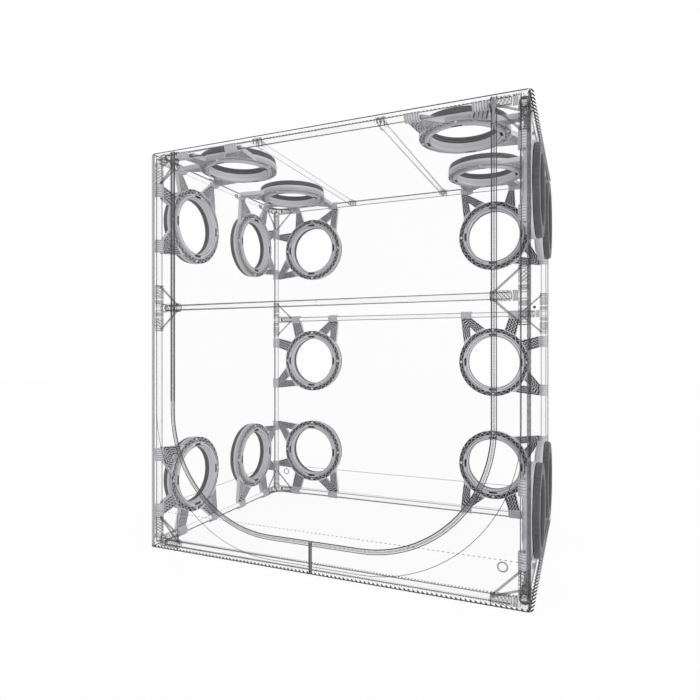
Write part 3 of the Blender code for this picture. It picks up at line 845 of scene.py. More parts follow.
    def tray(self, shape: Shape, near: Array, far: Array, marks: Array, bends: int,
             mirrored: bool) -> None:
        """An arm open to the inside, with a rim round it and waved channels along it.

        The point at place p along the arm and share s across it mixes the near and the far
        side's points at p by s + wave / channels sin(2 pi bends p), less near a rim.

        Args:
            shape: where it goes.
            near: points of the near side at the marks.
            far: points of the far side at the marks.
            marks: places of those points, from 0 to 1.
            bends: how many waves a channel has.
            mirrored: swap the two axes.
        """
        shares, floors = comb(self.channels, self.channel_wall, self.channel_slope)
        run = np.linspace(self.arm_rim, 1 - self.arm_rim, bends * 8 + 1)
        places = np.concatenate([[0, self.arm_lip], run, [1 - self.arm_lip, 1]])
        inside = np.minimum(places, 1 - places) > (self.arm_lip + self.arm_rim) / 2
        edge = np.minimum(shares, 1 - shares) * self.channels
        fade = np.clip(edge / self.channel_fade, 0, 1)
        wave = self.channel_wave / self.channels * np.sin(2 * math.pi * bends * places)
        across = (shares + wave[:, None] * fade)[..., None]
        first, second = (np.stack([np.interp(places, marks, side[:, axis]) for axis in (0, 1)],
                                  -1)[:, None] for side in (near, far))
        flat = first + (second - first) * across
        if mirrored:
            flat = flat[..., ::-1]
        hollow = inside[:, None] & floors
        inner = np.where(hollow, self.arm_floor, self.arm_bottom)
        outer = np.full(inner.shape, self.arm_top)
        # The channel floors get full painted shade.
        shape.shell(np.dstack([flat, inner]), np.dstack([flat, outer]), recess=hollow * 1.0)

    def span(self, centre: float, hold: Hold) -> tuple[float, float]:
        """Where a clip begins and ends along its tube.

        Args:
            centre: the full clip's middle.
            hold: which part of it there is.

        Returns:
            Its low and its high end.
        """
        low, high = (centre + share * self.clip_length / 2 for share in hold.value)
        return (low + self.clip_gap if hold is Hold.CORNER else low,
                high - self.clip_gap if hold is Hold.MIDDLE else high)

    def feet(self, degrees: tuple[float, ...]) -> list[Array]:
        """Points on the band's rim where an arm's sides begin."""
        return [self.foot_radius * np.array([math.cos(a), math.sin(a)])
                for a in np.radians(degrees)]

    def arms(self, shape: Shape, hold: Hold, mirrored: bool) -> None:
        """Two arms to one tube: a leg next to the corner, and a fork whose prongs join.

        Args:
            shape: where they go.
            hold: which part of its clips the port has on this tube.
            mirrored: False for the tube along the first axis, True for the other.
        """
        neck = self.reach - self.clip_pad + self.neck_overlap
        low, high = self.span(self.near_clip, hold)
        feet = self.feet(self.leg_feet)
        self.tray(shape, np.array([feet[0], (low, neck)]), np.array([feet[1], (high, neck)]),
                  np.array([0.0, 1.0]), self.leg_bends, mirrored)
        low, high = self.span(self.far_clip, hold)
        feet = self.feet(self.fork_feet)
        middle = np.array([(low + high) / 2, neck])
        crotch = (feet[1] + feet[2]) / 2 * (1 - self.crotch) + middle * self.crotch
        side = np.array([self.crotch_half, 0])
        near = np.array([feet[1], crotch - side, crotch + side, feet[2]])
        far = np.array([feet[0], (low, neck), (high, neck), feet[3]])
        self.tray(shape, near, far, np.array([0, 0.4, 0.6, 1]), self.fork_bends, mirrored)

    def clip(self, shape: Shape, centre: float, hold: Hold, mirrored: bool) -> None:
        """A C clip: radius r(l) at angle f from outwards, 60 to 300 degrees, flat at the arm.

        The outside drops in grooves along the length l, and it is cut off flat where the
        angle faces the arm.

        Args:
            shape: where it goes.
            centre: the full clip's middle along its tube.
            hold: which part of it there is.
            mirrored: swap the two axes.
        """
        low, high = self.span(centre, hold)
        grooves = self.clip_grooves if hold is Hold.FULL else self.clip_grooves // 2
        places, floors = comb(grooves, self.clip_wall, self.clip_slope)
        length = low + (high - low) * places
        outer = np.where(floors, self.clip_radius - self.clip_groove, self.clip_radius)
        outer[[0, -1]] -= 0.4 * MM
        facing = np.maximum(-np.sin(C_ANGLES), 0.05)
        radius = np.minimum(outer[:, None], self.clip_pad / facing)
        inner = np.full(radius.shape, self.clip_bore)
        inner[:, [0, 1, -2, -1]] += np.array([0.7, 0.2, 0.2, 0.7]) * MM
        grids = []
        for reach in (radius, inner):
            across = self.reach + reach * np.sin(C_ANGLES)
            along = np.broadcast_to(length[:, None], across.shape)
            order = [across, along] if mirrored else [along, across]
            grids.append(np.stack([*order, reach * np.cos(C_ANGLES)], -1))
        # The floors of the clip's grooves get painted shade.
        shape.shell(*grids, recess=self.clip_shade * floors[:, None])

    def at_screws(self, shape: Shape, profile: list[tuple[float, float]]) -> None:
        """Revolve a profile at each of the four screws.

        Args:
            shape: where they go.
            profile: radii and heights in millimetres.
        """
        solid = turned(np.array(profile) * MM, around(24))
        for angle in around(4):
            place = np.array([math.cos(angle), math.sin(angle), 0]) * self.screw_radius
            shape.grid(solid + place, wrap_u=True)

    def plate(self, holds: tuple[Hold, Hold]) -> Mesh:
        """The plate in the port's own frame, with a pillar at each screw.

        Args:
            holds: which part of its clips it has on each tube.

        Returns:
            Its mesh.
        """
        shape = Shape()
        self.body(shape)
        self.at_screws(shape, [(0, -5.2), (3.4, -5.2), (3.9, -4.7), (3.9, 5.4), (0, 5.4)])
        for hold, mirrored in zip(holds, (False, True)):
            self.arms(shape, hold, mirrored)
            self.clip(shape, self.near_clip, hold, mirrored)
            self.clip(shape, self.far_clip, hold, mirrored)
        return shape.mesh("plate")

    def screws(self) -> Mesh:
        """Four pan heads with a round recess.

        Returns:
            Their mesh, in the port's own frame.
        """
        shape = Shape()
        self.at_screws(shape, [(0, -5.9), (1.2, -5.9), (1.4, -6.7), (2.2, -6.7), (2.9, -6.2),
                               (3.1, -5.5), (3.1, -4.9), (0, -4.9)])
        return shape.mesh("screws")

    def build(self, places: list[PortPlace]) -> None:
        """Make the plate and the screws of every port.

        Args:
            places: where the ports are.
        """
        plates = {holds: self.plate(holds)
                  for holds in dict.fromkeys(place.holds for place in places)}
        screws = self.screws()
        for place in places:
            piece(f"duct_plate_{place.name}", place.put(plates[place.holds]), PLATE_PLASTIC,
                  ROOT_BODY, (f"port_plate_{place.name}",))
            piece(f"duct_screws_{place.name}", place.put(screws), BRIGHT, ROOT_BODY)


@dataclass
class LockRing:
    """The outer half of a duct port: a tapered ring with finger grips and four tabs."""

    grip: float = 0.0010
    grip_pitch: float = math.radians(7)
    grip_half: float = math.radians(14)
    grip_power: float = 0.7
    lines: int = 288
    tab_angle: float = math.radians(-4.14)
    tab_half: float = math.radians(3.4)
    tab_outer: float = 0.0824
    tab_inner: float = 0.0796

    def mesh(self) -> Mesh:
        """The ring in the port's own frame.

        Its profile is turned round the bore. The outer wall stands out by grip g(a), where
        g is a row of four half waves in each eighth of a turn.

        Returns:
            The mesh of ring and tabs.
        """
        angles = around(self.lines)
        eighth = (angles + math.pi / 8) % (math.pi / 4) - math.pi / 8
        wave = -np.cos(2 * math.pi * eighth / self.grip_pitch)
        bump = np.clip(wave, 0, 1) ** self.grip_power * (abs(eighth) < self.grip_half)
        rows = [(75.0, 13.4, 0), (75.6, 12.8, 0), (97.8, 12.8, 0), (98.8, 13.6, 0),
                (98.6, 14.2, 1), (98.2, 16.4, 1), (97.4, 21.6, 1), (97.0, 23.8, 1),
                (96.8, 24.4, 0), (96.0, 25.3, 0), (93.2, 25.3, 0), (92.8, 24.7, 0),
                (91.2, 24.7, 0), (90.8, 25.3, 0), (82.0, 25.3, 0), (81.6, 24.8, 0),
                (80.4, 24.8, 0), (80.0, 25.3, 0), (75.8, 25.3, 0), (75.0, 24.5, 0),
                (75.0, 20.2, 0), (75.7, 19.8, 0), (75.7, 17.2, 0), (75.0, 16.8, 0)]
        radius, height, gripped = np.array(rows).T
        radius = radius * MM + self.grip * gripped * bump[:, None]
        shape = Shape()
        shape.grid(polar_grid(radius, height * MM, angles), wrap_u=True, wrap_v=True)
        self.tabs(shape)
        return shape.mesh("ring")

    def tabs(self, shape: Shape) -> None:
        """Four curved tongues that pass through the plate's slots, with a hooked end.

        Args:
            shape: where they go.
        """
        turn = np.linspace(-self.tab_half, self.tab_half, 7)
        height = np.array([-5.2, -4.6, 0.4, 0.9, 6.0, 14.5]) * MM
        hook = np.array([0.1, 0.9, 0.9, 0.0, 0.0, 0.0]) * MM
        for quarter in around(4) + self.tab_angle:
            shape.shell(*(polar_grid(radius, height, quarter + turn)
                          for radius in (self.tab_outer + hook, np.full(6, self.tab_inner))))

    def build(self, places: list[PortPlace]) -> None:
        """Make the ring of every port.

        Args:
            places: where the ports are.
        """
        source = self.mesh()
        for place in places:
            piece(f"lock_ring_{place.name}", place.put(source), RING_PLASTIC,
                  f"lock_ring_{place.name}", (f"port_ring_{place.name}",))


@dataclass
class TubeFrame:
    """Steel tubes, the moulded connectors at their ends, and the two hanging crossbars."""

    layout: Layout
    sides: int = 40
    reach: float = 0.0625
    mid_reach: float = 0.057
    sleeve: float = 0.0100
    hub: float = 0.0109
    hub_power: int = 6
    ribs: int = 4
    rib_start: float = 0.0105
    rib_pitch: float = 0.0030
    rib_height: float = 0.0006
    band_bore: float = 0.0094
    first_band: float = 0.0126
    scales: int = 7
    scales_start: float = 0.0235
    scales_margin: float = 0.0085
    scale_pitch: float = 0.00105
    scale_length: float = 0.0037
    scale_height: float = 0.0015
    strut: float = 0.0025
    strut_aside: float = 0.0053
    strut_short: float = 0.004
    hook_bore: float = 0.0083
    hook_radius: float = 0.0115
    hook_socket: float = 0.0095
    crossbar_gap: float = 0.0093

    def rod(self, shape: Shape, profile: Array, origin: Array, axis: Array, sides: int,
            recess: float = 0.0) -> None:
        """Revolve a profile round a line.

        Args:
            shape: where it goes.
            profile: n x 2 values (radius, distance along the line).
            origin: the line's start.
            axis: its unit direction.
            sides: faces round it.
            recess: how much painted shade its points get.
        """
        shape.grid(on_axis(turned(profile, around(sides)), origin, axis), wrap_u=True,
                   recess=recess)

    def tube(self, name: str, start: Array, end: Array, body: str, node: str,
             finish: Finish = TUBE_RIM_SHADE) -> None:
        """A tube with rounded ends and a ring in its middle where its halves meet.

        Args:
            name: the piece's name.
            start: the middle of one end.
            end: the middle of the other.
            body: the body it moves with.
            node: the node it stands for.
            finish: its surface.
        """
        length = float(np.linalg.norm(end - start))
        r, middle = self.layout.tube, length / 2
        half = [(0, 0), (r - 1.0 * MM, 0), (r - 0.3 * MM, 0.3 * MM), (r, 1.0 * MM), (r, 3.0 * MM),
                (r, middle - 3.0 * MM), (r, middle - 1.2 * MM), (r - 0.4 * MM, middle - 0.6 * MM)]
        profile = np.array(half + [(radius, length - along) for radius, along in half[::-1]])
        shape = Shape()
        self.rod(shape, profile, start, (end - start) / length, self.sides)
        piece(name, shape.mesh(name), finish, body, (node,))

    def bars(self) -> None:
        """The ten bars in the sockets and the four posts' tubes."""
        names = [f"{end}_{level}_bar" for level in ("bottom", "top")
                 for end in (*ENDS, "left", "right")]
        for name in (*names, "front_middle_bar", "back_middle_bar"):
            low, high = box_of(name)
            axis = int(np.argmax(high - low))
            start = (low + high) / 2
            end = start.copy()
            start[axis], end[axis] = low[axis], high[axis]
            self.tube(name.replace("_bar", "_tube"), start, end, ROOT_BODY, name,
                      CROSSBAR_RIM_SHADE if axis == 1 else TUBE_RIM_SHADE)
        low_z, _, top_z = self.layout.bar_z
        for end, y in zip(ENDS, self.layout.post_y):
            for side, sign in SIDES:
                x = sign * self.layout.post_x
                self.tube(f"{end}_{side}_tube", np.array([x, y, low_z]),
                          np.array([x, y, top_z]), ROOT_BODY, f"{end}_{side}_post")

    def sleeve_rows(self, reach: float) -> tuple[Array, Array]:
        """Ribs by the hub, lines for the scales, then a plain end.

        Args:
            reach: how far the sleeve's end is from the hub's middle.

        Returns:
            Distances and radii along the sleeve.
        """
        rows = [(0.006, 0.0), (0.006, self.sleeve)]
        low, high = self.sleeve - self.rib_height, self.sleeve + self.rib_height
        for start in self.rib_start + np.arange(self.ribs) * self.rib_pitch:
            rows += [(start, low), (start + 0.4 * MM, high), (start + 1.4 * MM, high),
                     (start + 1.8 * MM, low)]
        room = reach - self.scales_margin - self.scales_start
        rows += [(distance, self.sleeve - 0.2 * MM) for distance in np.linspace(
            self.scales_start, reach - self.scales_margin, int(room / self.scale_pitch))]
        rows += [(reach - 7.8 * MM, self.sleeve), (reach - 0.4 * MM, self.sleeve),
                 (reach, self.sleeve - 0.4 * MM), (reach, 8.4 * MM), (reach - MM, 8.2 * MM),
                 (reach - MM, 0.0)]
        distance, radius = np.array(rows).T
        return distance, radius

    def add_sleeve(self, shape: Shape, origin: Array, axis: Array, reach: float) -> None:
        """A sleeve with overlapping scales: r = r0 + h |sin(u + v) sin(u - v)|.

        u runs round the sleeve and v along it, h fades out at both ends of the scales.

        Args:
            shape: where it goes.
            origin: the hub's middle.
            axis: the sleeve's unit direction.
            reach: how far its end is from the origin.
        """
        distance, radius = self.sleeve_rows(reach)
        angles = around(self.scales * 8)
        start, end = self.scales_start, reach - self.scales_margin
        inside = (distance >= start) & (distance <= end)
        along = (distance - start) / self.scale_length * math.pi / 2
        round_part = (angles * self.scales / 2)[:, None]
        scale = abs(np.sin(round_part + along) * np.sin(round_part - along))
        fade = np.clip((distance - start) / MM, 0, 1) * np.clip((end - distance) / MM, 0, 1)
        grown = radius + self.scale_height * scale * fade * inside
        # Painted shade between the scales, deepest where they dip.
        shape.grid(on_axis(polar_grid(grown, distance, angles), origin, axis), wrap_u=True,
                   recess=(1 - scale) ** 4 * fade * inside)

    def add_hub(self, shape: Shape, centre: Array) -> None:
        """A rounded cube: |x|^6 + |y|^6 + |z|^6 = half^6, on a grid of directions.

        Args:
            shape: where it goes.
            centre: its middle.
        """
        polar = np.linspace(0, math.pi, 17)
        ways = polar_grid(np.sin(polar), np.cos(polar), around(32))
        size = (abs(ways) ** self.hub_power).sum(-1) ** (-1 / self.hub_power) * self.hub
        shape.grid(ways * size[..., None] + centre, wrap_u=True)

    def add_strut(self, shape: Shape, centre: Array, first: tuple[Array, float],
                  second: tuple[Array, float]) -> None:
        """A thin brace between two sleeves' ends, thicker where it meets them.

        Args:
            shape: where it goes.
            centre: the hub's middle.
            first: one sleeve's direction and reach.
            second: the other's.
        """
        start, end = (centre + way * (reach - self.strut_short) + other * self.strut_aside
                      for (way, reach), (other, _) in ((first, second), (second, first)))
        length = float(np.linalg.norm(end - start))
        share = np.array([0, 0, 0.04, 0.1, 0.3, 0.5, 0.7, 0.9, 0.96, 1, 1])
        radius = self.strut * np.array([0, 1.3, 1.3, 1, 1, 0.96, 1, 1, 1.3, 1.3, 0])
        # The whole brace gets half painted shade.
        self.rod(shape, np.stack([radius, share * length], -1), start, (end - start) / length, 14,
                 recess=0.5)

    def add_bands(self, shape: Shape, origin: Array, axis: Array, reach: float) -> None:
        """Thin dark bands: two round the sleeve's end and three between its ribs.

        Args:
            shape: where they go.
            origin: the hub's middle.
            axis: the sleeve's unit direction.
            reach: how far its end is from the origin.
        """
        inner, high, low = self.band_bore, self.sleeve + 0.6 * MM, self.sleeve + 0.2 * MM
        bands = [(reach - 6.2 * MM, 0.8 * MM, high), (reach - 1.6 * MM, MM, high)]
        bands += [(self.first_band + self.rib_pitch * step, 0.7 * MM, low) for step in range(3)]
        for start, width, outer in bands:
            soft, end = width / 4, start + width
            profile = [(inner, start), (outer - soft, start), (outer, start + soft),
                       (outer, end - soft), (outer - soft, end), (inner, end), (inner, start)]
            self.rod(shape, np.array(profile), origin, axis, 36)

    def connector(self, moulded: Shape, dark: Shape, centre: Array,
                  arms: list[tuple[Array, float]], braces: list[tuple[int, int]]) -> None:
        """A hub with a sleeve along each arm, the sleeve's bands, and braces between arms.

        Args:
            moulded: where the hub, the sleeves and the braces go.
            dark: where the bands go.
            centre: the hub's middle.
            arms: each sleeve's direction and reach.
            braces: pairs of arms that a brace joins.
        """
        self.add_hub(moulded, centre)
        for way, reach in arms:
            self.add_sleeve(moulded, centre, way, reach)
            self.add_bands(dark, centre, way, reach)
        for first, second in braces:
            self.add_strut(moulded, centre, arms[first], arms[second])

    def connectors(self) -> None:
        """Eight corner connectors and four middle ones, a piece for each post."""
        low_z, middle_z, top_z = self.layout.bar_z
        for end, y, y_way in zip(ENDS, self.layout.post_y, (Y_AXIS, -Y_AXIS)):
            for side, sign in SIDES:
                moulded, dark = Shape(), Shape()
                x, inward = sign * self.layout.post_x, (-sign * X_AXIS, self.reach)
                for z, z_way in ((low_z, Z_AXIS), (top_z, -Z_AXIS)):
                    self.connector(moulded, dark, np.array([x, y, z]),
                                   [inward, (y_way, self.reach), (z_way, self.reach)],
                                   [(0, 2), (1, 0), (2, 1)])
                self.connector(moulded, dark, np.array([x, y, middle_z]),
                               [inward, (Z_AXIS, self.mid_reach), (-Z_AXIS, self.mid_reach)],
                               [(0, 1), (0, 2)])
                name = f"{end}_{side}_connectors"
                piece(name, moulded.mesh(name), CONNECTOR, ROOT_BODY, (f"{end}_{side}_post",))
                piece(f"{name}_bands", dark.mesh(name), SEAL_RUBBER, ROOT_BODY)

    def add_hook(self, shape: Shape, centre: Array, way: int) -> None:
        """A grooved C hook over a bar along X, and the socket for a crossbar's end.

        Args:
            shape: where it goes.
            centre: the bar's middle line above the crossbar.
            way: 1 or -1, the hook's closed side on Y.
        """
        x, y, z = centre
        length = x + np.array([-10, -9.4, -6, -5.6, -3.4, -3, 3, 3.4, 5.6, 6, 9.4, 10]) * MM
        low = np.array([8, 3, 3, 9, 9, 3, 3, 9, 9, 3, 3, 8]) * 0.1 * MM
        grids = []
        for radius in (self.hook_radius - low, np.full(12, self.hook_bore)):
            across = y + way * np.outer(radius, -np.sin(C_ANGLES))
            along = np.broadcast_to(length[:, None], across.shape)
            grids.append(np.stack([along, across, z - np.outer(radius, np.cos(C_ANGLES))], -1))
        # Painted shade in the hook's grooves.
        shape.shell(*grids, recess=(low > 0.5 * MM)[:, None] * 1.0)
        mouth = np.array([(8.2, 0), (10.4, 0), (10.4, 11), (9.9, 12), (8.2, 12), (8.2, 0)]) * MM
        self.rod(shape, mouth, np.array([x, y - way * self.hook_socket, z]), -way * Y_AXIS, 32)

    def crossbars(self) -> None:
        """The two bars under the roof, each with a C hook over both long top bars."""
        (front_y, back_y), z = self.layout.post_y, self.layout.bar_z[2]
        for side, _ in SIDES:
            node, body = f"{side}_crossbar", f"{side}_bar_hooks"
            x = middle_of(node)[0]
            self.tube(f"{node}_tube", np.array([x, front_y + self.crossbar_gap, z]),
                      np.array([x, back_y - self.crossbar_gap, z]), body, node, CROSSBAR_RIM_SHADE)
            shape = Shape()
            for y, way in ((front_y, -1), (back_y, 1)):
                self.add_hook(shape, np.array([x, y, z]), way)
            piece(f"{node}_hooks", shape.mesh(node), CONNECTOR, body, (node,))

    def build(self) -> None:
        """Make every tube and connector."""
        self.bars()
        self.connectors()
        self.crossbars()


@dataclass(frozen=True)
class StitchRow:
    """A straight row of spindle-shaped stitches, from its first one's middle to its last's."""

    start: tuple[float, float, float]
    end: tuple[float, float, float]
    pitch: float
    length: float
    lean: Array
    radius: float

    def add_to(self, shape: Shape) -> None:
        """Add the row: each stitch is five faces of a six-sided spindle, r sqrt(sin(pi t)).

        Args:
            shape: where it goes.
        """
        start, end = np.array(self.start), np.array(self.end)
        count = max(2, int(np.linalg.norm(end - start) / self.pitch) + 1)
        spots = lerp(start, end, np.linspace(0, 1, count))
        share = np.linspace(0, 1, 5)
        profile = np.stack([self.radius * np.sqrt(np.sin(math.pi * share).clip(0)),
                            (share - 0.5) * self.length], -1)
        bead = on_axis(turned(profile, around(6)), np.zeros(3),
                       self.lean / np.linalg.norm(self.lean))
        shape.grid(bead + spots[:, None, None], wrap_v=True)


@dataclass
class Cover:
    """The zipped cover: see-through cloth panels, a door, a zip, edge cords and seams."""

    layout: Layout
    ports: list[PortPlace]
    sheet_depth: float = 0.0008
    inset: float = 0.0001
    hem: float = 0.0013
    patch: float = 0.104
    patch_steps: int = 16
    hole: float = 0.085
    flat_round_port: float = 0.100
    bulge_growth: float = 0.06
    pitch: float = 0.013
    bulge: float = 0.0012
    zip_inset: float = 0.066
    zip_bottom: float = 0.068
    zip_radius: float = 0.275
    zip_gap: float = 0.0003
    rise_steps: int = 27
    floor_steps: int = 20
    door_top: float = 0.978
    door_rows: int = 60
    door_corner_steps: int = 16
    tape: float = 0.005
    tooth_pitch: float = 0.0030
    tooth_half: float = 0.00055
    tooth_reach: float = 0.0011
    whip_pitch: float = 0.0175
    seam_height: float = 0.092
    seam_side: float = -0.3690
    grommet: float = 0.0090
    front_grommet: tuple[float, float] = (0.400, 0.079)
    back_grommet: tuple[float, float] = (-0.405, 0.071)
    knot: tuple[float, float] = (0.412, 0.615)
    strap_x: float = -0.006
    strap_low: float = 0.004
    strap_high: float = 0.071
    strap_width: float = 0.010
    least_area: float = 0.3
    edge_inset: float = 0.0012
    edge_cord: float = 0.0010
    twist_pitch: float = 0.016
    twist_swell: float = 0.05
    cord_step: float = 0.004
    fine_thread: float = 0.0006
    left_cord: float = 0.0030
    left_cord_in: float = 0.0026
    left_seam: float = 0.0028
    right_cord: float = 0.0027

    def lines(self, low: float, high: float, centres: list[float]) -> Array:
        """Grid lines that keep a square patch round each port.

        Args:
            low: the first line.
            high: the last line.
            centres: the ports' middles.

        Returns:
            The lines' places.
        """
        stops = [low]
        for centre in sorted(centres):
            stops += [centre - self.patch, centre + self.patch]
        stops.append(high)
        runs = []
        for step, (start, end) in enumerate(zip(stops, stops[1:])):
            count = self.patch_steps if step % 2 else max(1, round((end - start) / self.pitch))
            runs.append(np.linspace(start, end, count + 1)[:-1])
        return np.concatenate([*runs, [high]])

    def ring(self, spot: Array) -> Array:
        """Points straight from a port's square patch to the circle of its hole.

        Args:
            spot: the port's middle in the panel.

        Returns:
            6 x n x 2 points.
        """
        steps = np.linspace(-self.patch, self.patch, self.patch_steps + 1)[:-1]
        edge = np.full(self.patch_steps, self.patch)
        border = np.concatenate([np.stack(side, -1) for side in (
            (steps, -edge), (edge, steps), (-steps, edge), (-edge, -steps))])
        circle = border / np.linalg.norm(border, axis=1)[:, None] * self.hole
        return spot + lerp(border, circle, np.linspace(0, 1, 6))

    def panel(self, side: str, node: str, outwards: int, way: int, bulge: float) -> None:
        """A rectangle of cloth with a round hole for each of its ports.

        Each point stands out by bulge sin(pi u) sin(pi v), less near a port.

        Args:
            side: how its ports' names begin.
            node: the node it stands for.
            outwards: its normal's axis.
            way: 1 or -1, outwards.
            bulge: how far its middle stands out.
        """
        low, high = box_of(node)
        plane = [axis for axis in range(3) if axis != outwards]
        out = (self.layout.high if way > 0 else self.layout.low)[outwards]
        spots = [port.centre[plane] for port in self.ports if port.name.startswith(f"{side}_")]
        lines = (self.lines(low[axis], high[axis], sorted({round(spot[step], 6) for spot in spots}))
                 for step, axis in enumerate(plane))
        grid = np.stack(np.meshgrid(*lines, indexing="ij"), -1)
        middles = (grid[:-1, :-1] + grid[1:, 1:]) / 2
        keep = np.ones(middles.shape[:2], bool)
        for spot in spots:
            keep &= ~(abs(middles - spot) < self.patch).all(-1)
        shape = Shape()
        rings = ((self.ring(spot), True, None) for spot in spots)
        for points, wrap, kept in ((grid, False, keep), *rings):
            share = (points - low[plane]) / (high - low)[plane]
            spread = np.sin(math.pi * share).prod(-1)
            for spot in spots:
                away = np.linalg.norm(points - spot, axis=-1)
                spread *= np.clip((away - self.flat_round_port) / self.bulge_growth, 0, 1)
            full = np.empty((*points.shape[:2], 3))
            full[..., plane] = points
            full[..., outwards] = out + way * (bulge * spread - self.inset)
            shape.grid(full, wrap_v=wrap, keep=kept)
        self.sheet(f"{side}_cloth", shape, np.eye(3)[outwards] * way, node, ROOT_BODY)

    def sheet(self, name: str, shape: Shape, normal: Array, node: str, body: str) -> None:
        """Finish a cloth panel: thickness inwards, and what it was cut to.

        Args:
            name: the piece's name.
            shape: its outer face.
            normal: which way it faces.
            node: the node it stands for.
            body: the body it moves with.
        """
        made = piece(name, shape.mesh(name, normal), FILM, body, (node,))
        solid = made.modifiers.new("thickness", "SOLIDIFY")
        solid.thickness = self.sheet_depth
        solid.offset = -1

    def zip_path(self, inset: float, top: float, steps: int = 24) -> Array:
        """The zip's U: down the left, round two quarter circles, and up the right.

        Args:
            inset: how far it is moved inwards.
            top: where it ends.
            steps: steps of a quarter circle.

        Returns:
            n x 2 points (across, height).
        """
        half = self.layout.high[0] - self.zip_inset - inset
        radius = self.zip_radius - inset
        bottom, reach = self.zip_bottom + inset, half - radius
        rise = np.linspace(top, bottom + radius, self.rise_steps + 1)[:-1]
        flat = np.linspace(-reach, reach, self.floor_steps)[1:-1]
        left, right = (np.radians(np.linspace(start, start + 90, steps + 1))
                       for start in (180, 270))
        runs = ((np.full(len(rise), -half), rise),
                (radius * np.cos(left) - reach, bottom + radius + radius * np.sin(left)),
                (flat, np.full(len(flat), bottom)),
                (radius * np.cos(right) + reach, bottom + radius + radius * np.sin(right)),
                (np.full(len(rise), half), rise[::-1]))
        return np.concatenate([np.stack(run, -1) for run in runs])

    def on_front(self, path: Array, out: float) -> Array:
        """Points (across, height) of the front, moved outwards by out."""
        return np.stack([path[..., 0], np.full(path.shape[:-1], self.layout.low[1] - out),
                         path[..., 1]], -1)

    def area_of_u(self, half: float, radius: float, height: float) -> float:
        """The area of a rectangle with its two lower corners rounded."""
        return 2 * half * height - 2 * radius ** 2 * (1 - math.pi / 4)

    def door(self) -> None:
        """The door inside the zip: columns from the U's bottom up to the hinge."""
        half = self.layout.high[0] - self.zip_inset - self.zip_gap
        radius = self.zip_radius - self.zip_gap
        bottom, reach = self.zip_bottom + self.zip_gap, half - radius
        turn = np.linspace(0, math.pi / 2, self.door_corner_steps + 1)
        side = reach + radius * np.sin(turn)
        flat = np.linspace(-reach, reach, self.floor_steps)[1:-1]
        xs = np.concatenate([-side[::-1], flat, side])
        beyond = np.clip((abs(xs) - reach) / radius, 0, 1)
        low = bottom + radius * (1 - np.sqrt(1 - beyond ** 2))
        shares = np.linspace(0, 1, self.door_rows)
        height = low[:, None] + (self.door_top - low[:, None]) * shares
        across = np.broadcast_to(xs[:, None], height.shape)
        spread = np.sin(math.pi * shares) * np.sin(math.pi * (xs[:, None] / half + 1) / 2)
        points = self.on_front(np.stack([across, height], -1), -self.inset)
        points[..., 1] -= self.bulge * spread
        shape = Shape()
        shape.grid(points)
        self.sheet("door_cloth", shape, -Y_AXIS, "door_panel", "door")

    def surround(self) -> None:
        """The front round the door: straight lines from the zip's U to the cover's edge.

        Each line starts at a point of the U and goes on from the middle of its bend, or
        straight out where the U is straight, as far as the nearer edge.
        """
        path = self.zip_path(-self.zip_gap, self.door_top)
        half, bottom = self.layout.high[0] - self.hem, self.layout.low[2] + self.hem
        zip_half = self.layout.high[0] - self.zip_inset
        corner = zip_half - self.zip_radius
        across, height = path.T
        middle = np.stack([np.where(abs(across) < corner, across, np.sign(across) * corner),
                           np.maximum(self.zip_bottom + self.zip_radius, height)], -1)
        ways = path - middle
        room = np.stack([np.where(ways[:, 0] < 0, -half, half) - middle[:, 0],
                         bottom - middle[:, 1]], -1)
        still = abs(ways) < 1e-9
        reach = np.where(still, np.inf, room / np.where(still, 1, ways))
        reach = np.where(reach <= 0, np.inf, reach).min(1)
        outer = middle + ways * reach[:, None]
        shape = Shape()
        shape.grid(self.on_front(lerp(path, outer, np.linspace(0, 1, 6)), -self.inset))
        flat = (2 * half, self.door_top - bottom)
        whole = flat[0] * flat[1]
        cut = whole - self.area_of_u(zip_half, self.zip_radius, self.door_top - self.zip_bottom)
        self.sheet("front_cloth", shape, -Y_AXIS, "front_surround", ROOT_BODY)

    def panels(self) -> None:
        """The five plain walls, the door and its surround."""
        for side, node, outwards, way, bulge in (
                ("left", "left_wall", 0, -1, self.bulge), ("right", "right_wall", 0, 1, self.bulge),
                ("back", "back_wall", 1, 1, self.bulge), ("roof", "roof_panel", 2, 1, self.bulge),
                ("floor", "floor_panel", 2, -1, 0.0)):
            self.panel(side, node, outwards, way, bulge)
        self.door()
        self.surround()

    def cord(self, shape: Shape, start: tuple[float, float, float],
             end: tuple[float, float, float], radius: float, sides: int = 12) -> None:
        """A straight cord with closed ends: r = radius (1 + swell sin(2 pi l / pitch)).

        Args:
            shape: where it goes.
            start: the middle of one end.
            end: the middle of the other.
            radius: half its thickness.
            sides: faces round it.
        """
        origin = np.array(start)
        axis = np.array(end) - origin
        length = float(np.linalg.norm(axis))
        distance = np.linspace(0, length, max(12, int(length / self.cord_step)))
        wave = np.sin(distance * 2 * math.pi / self.twist_pitch)
        swell = radius * (1 + self.twist_swell * wave)
        swell[[0, -1]] = 0
        local = turned(np.stack([swell, distance], -1), around(sides))
        shape.grid(on_axis(local, origin, axis / length), wrap_u=True)

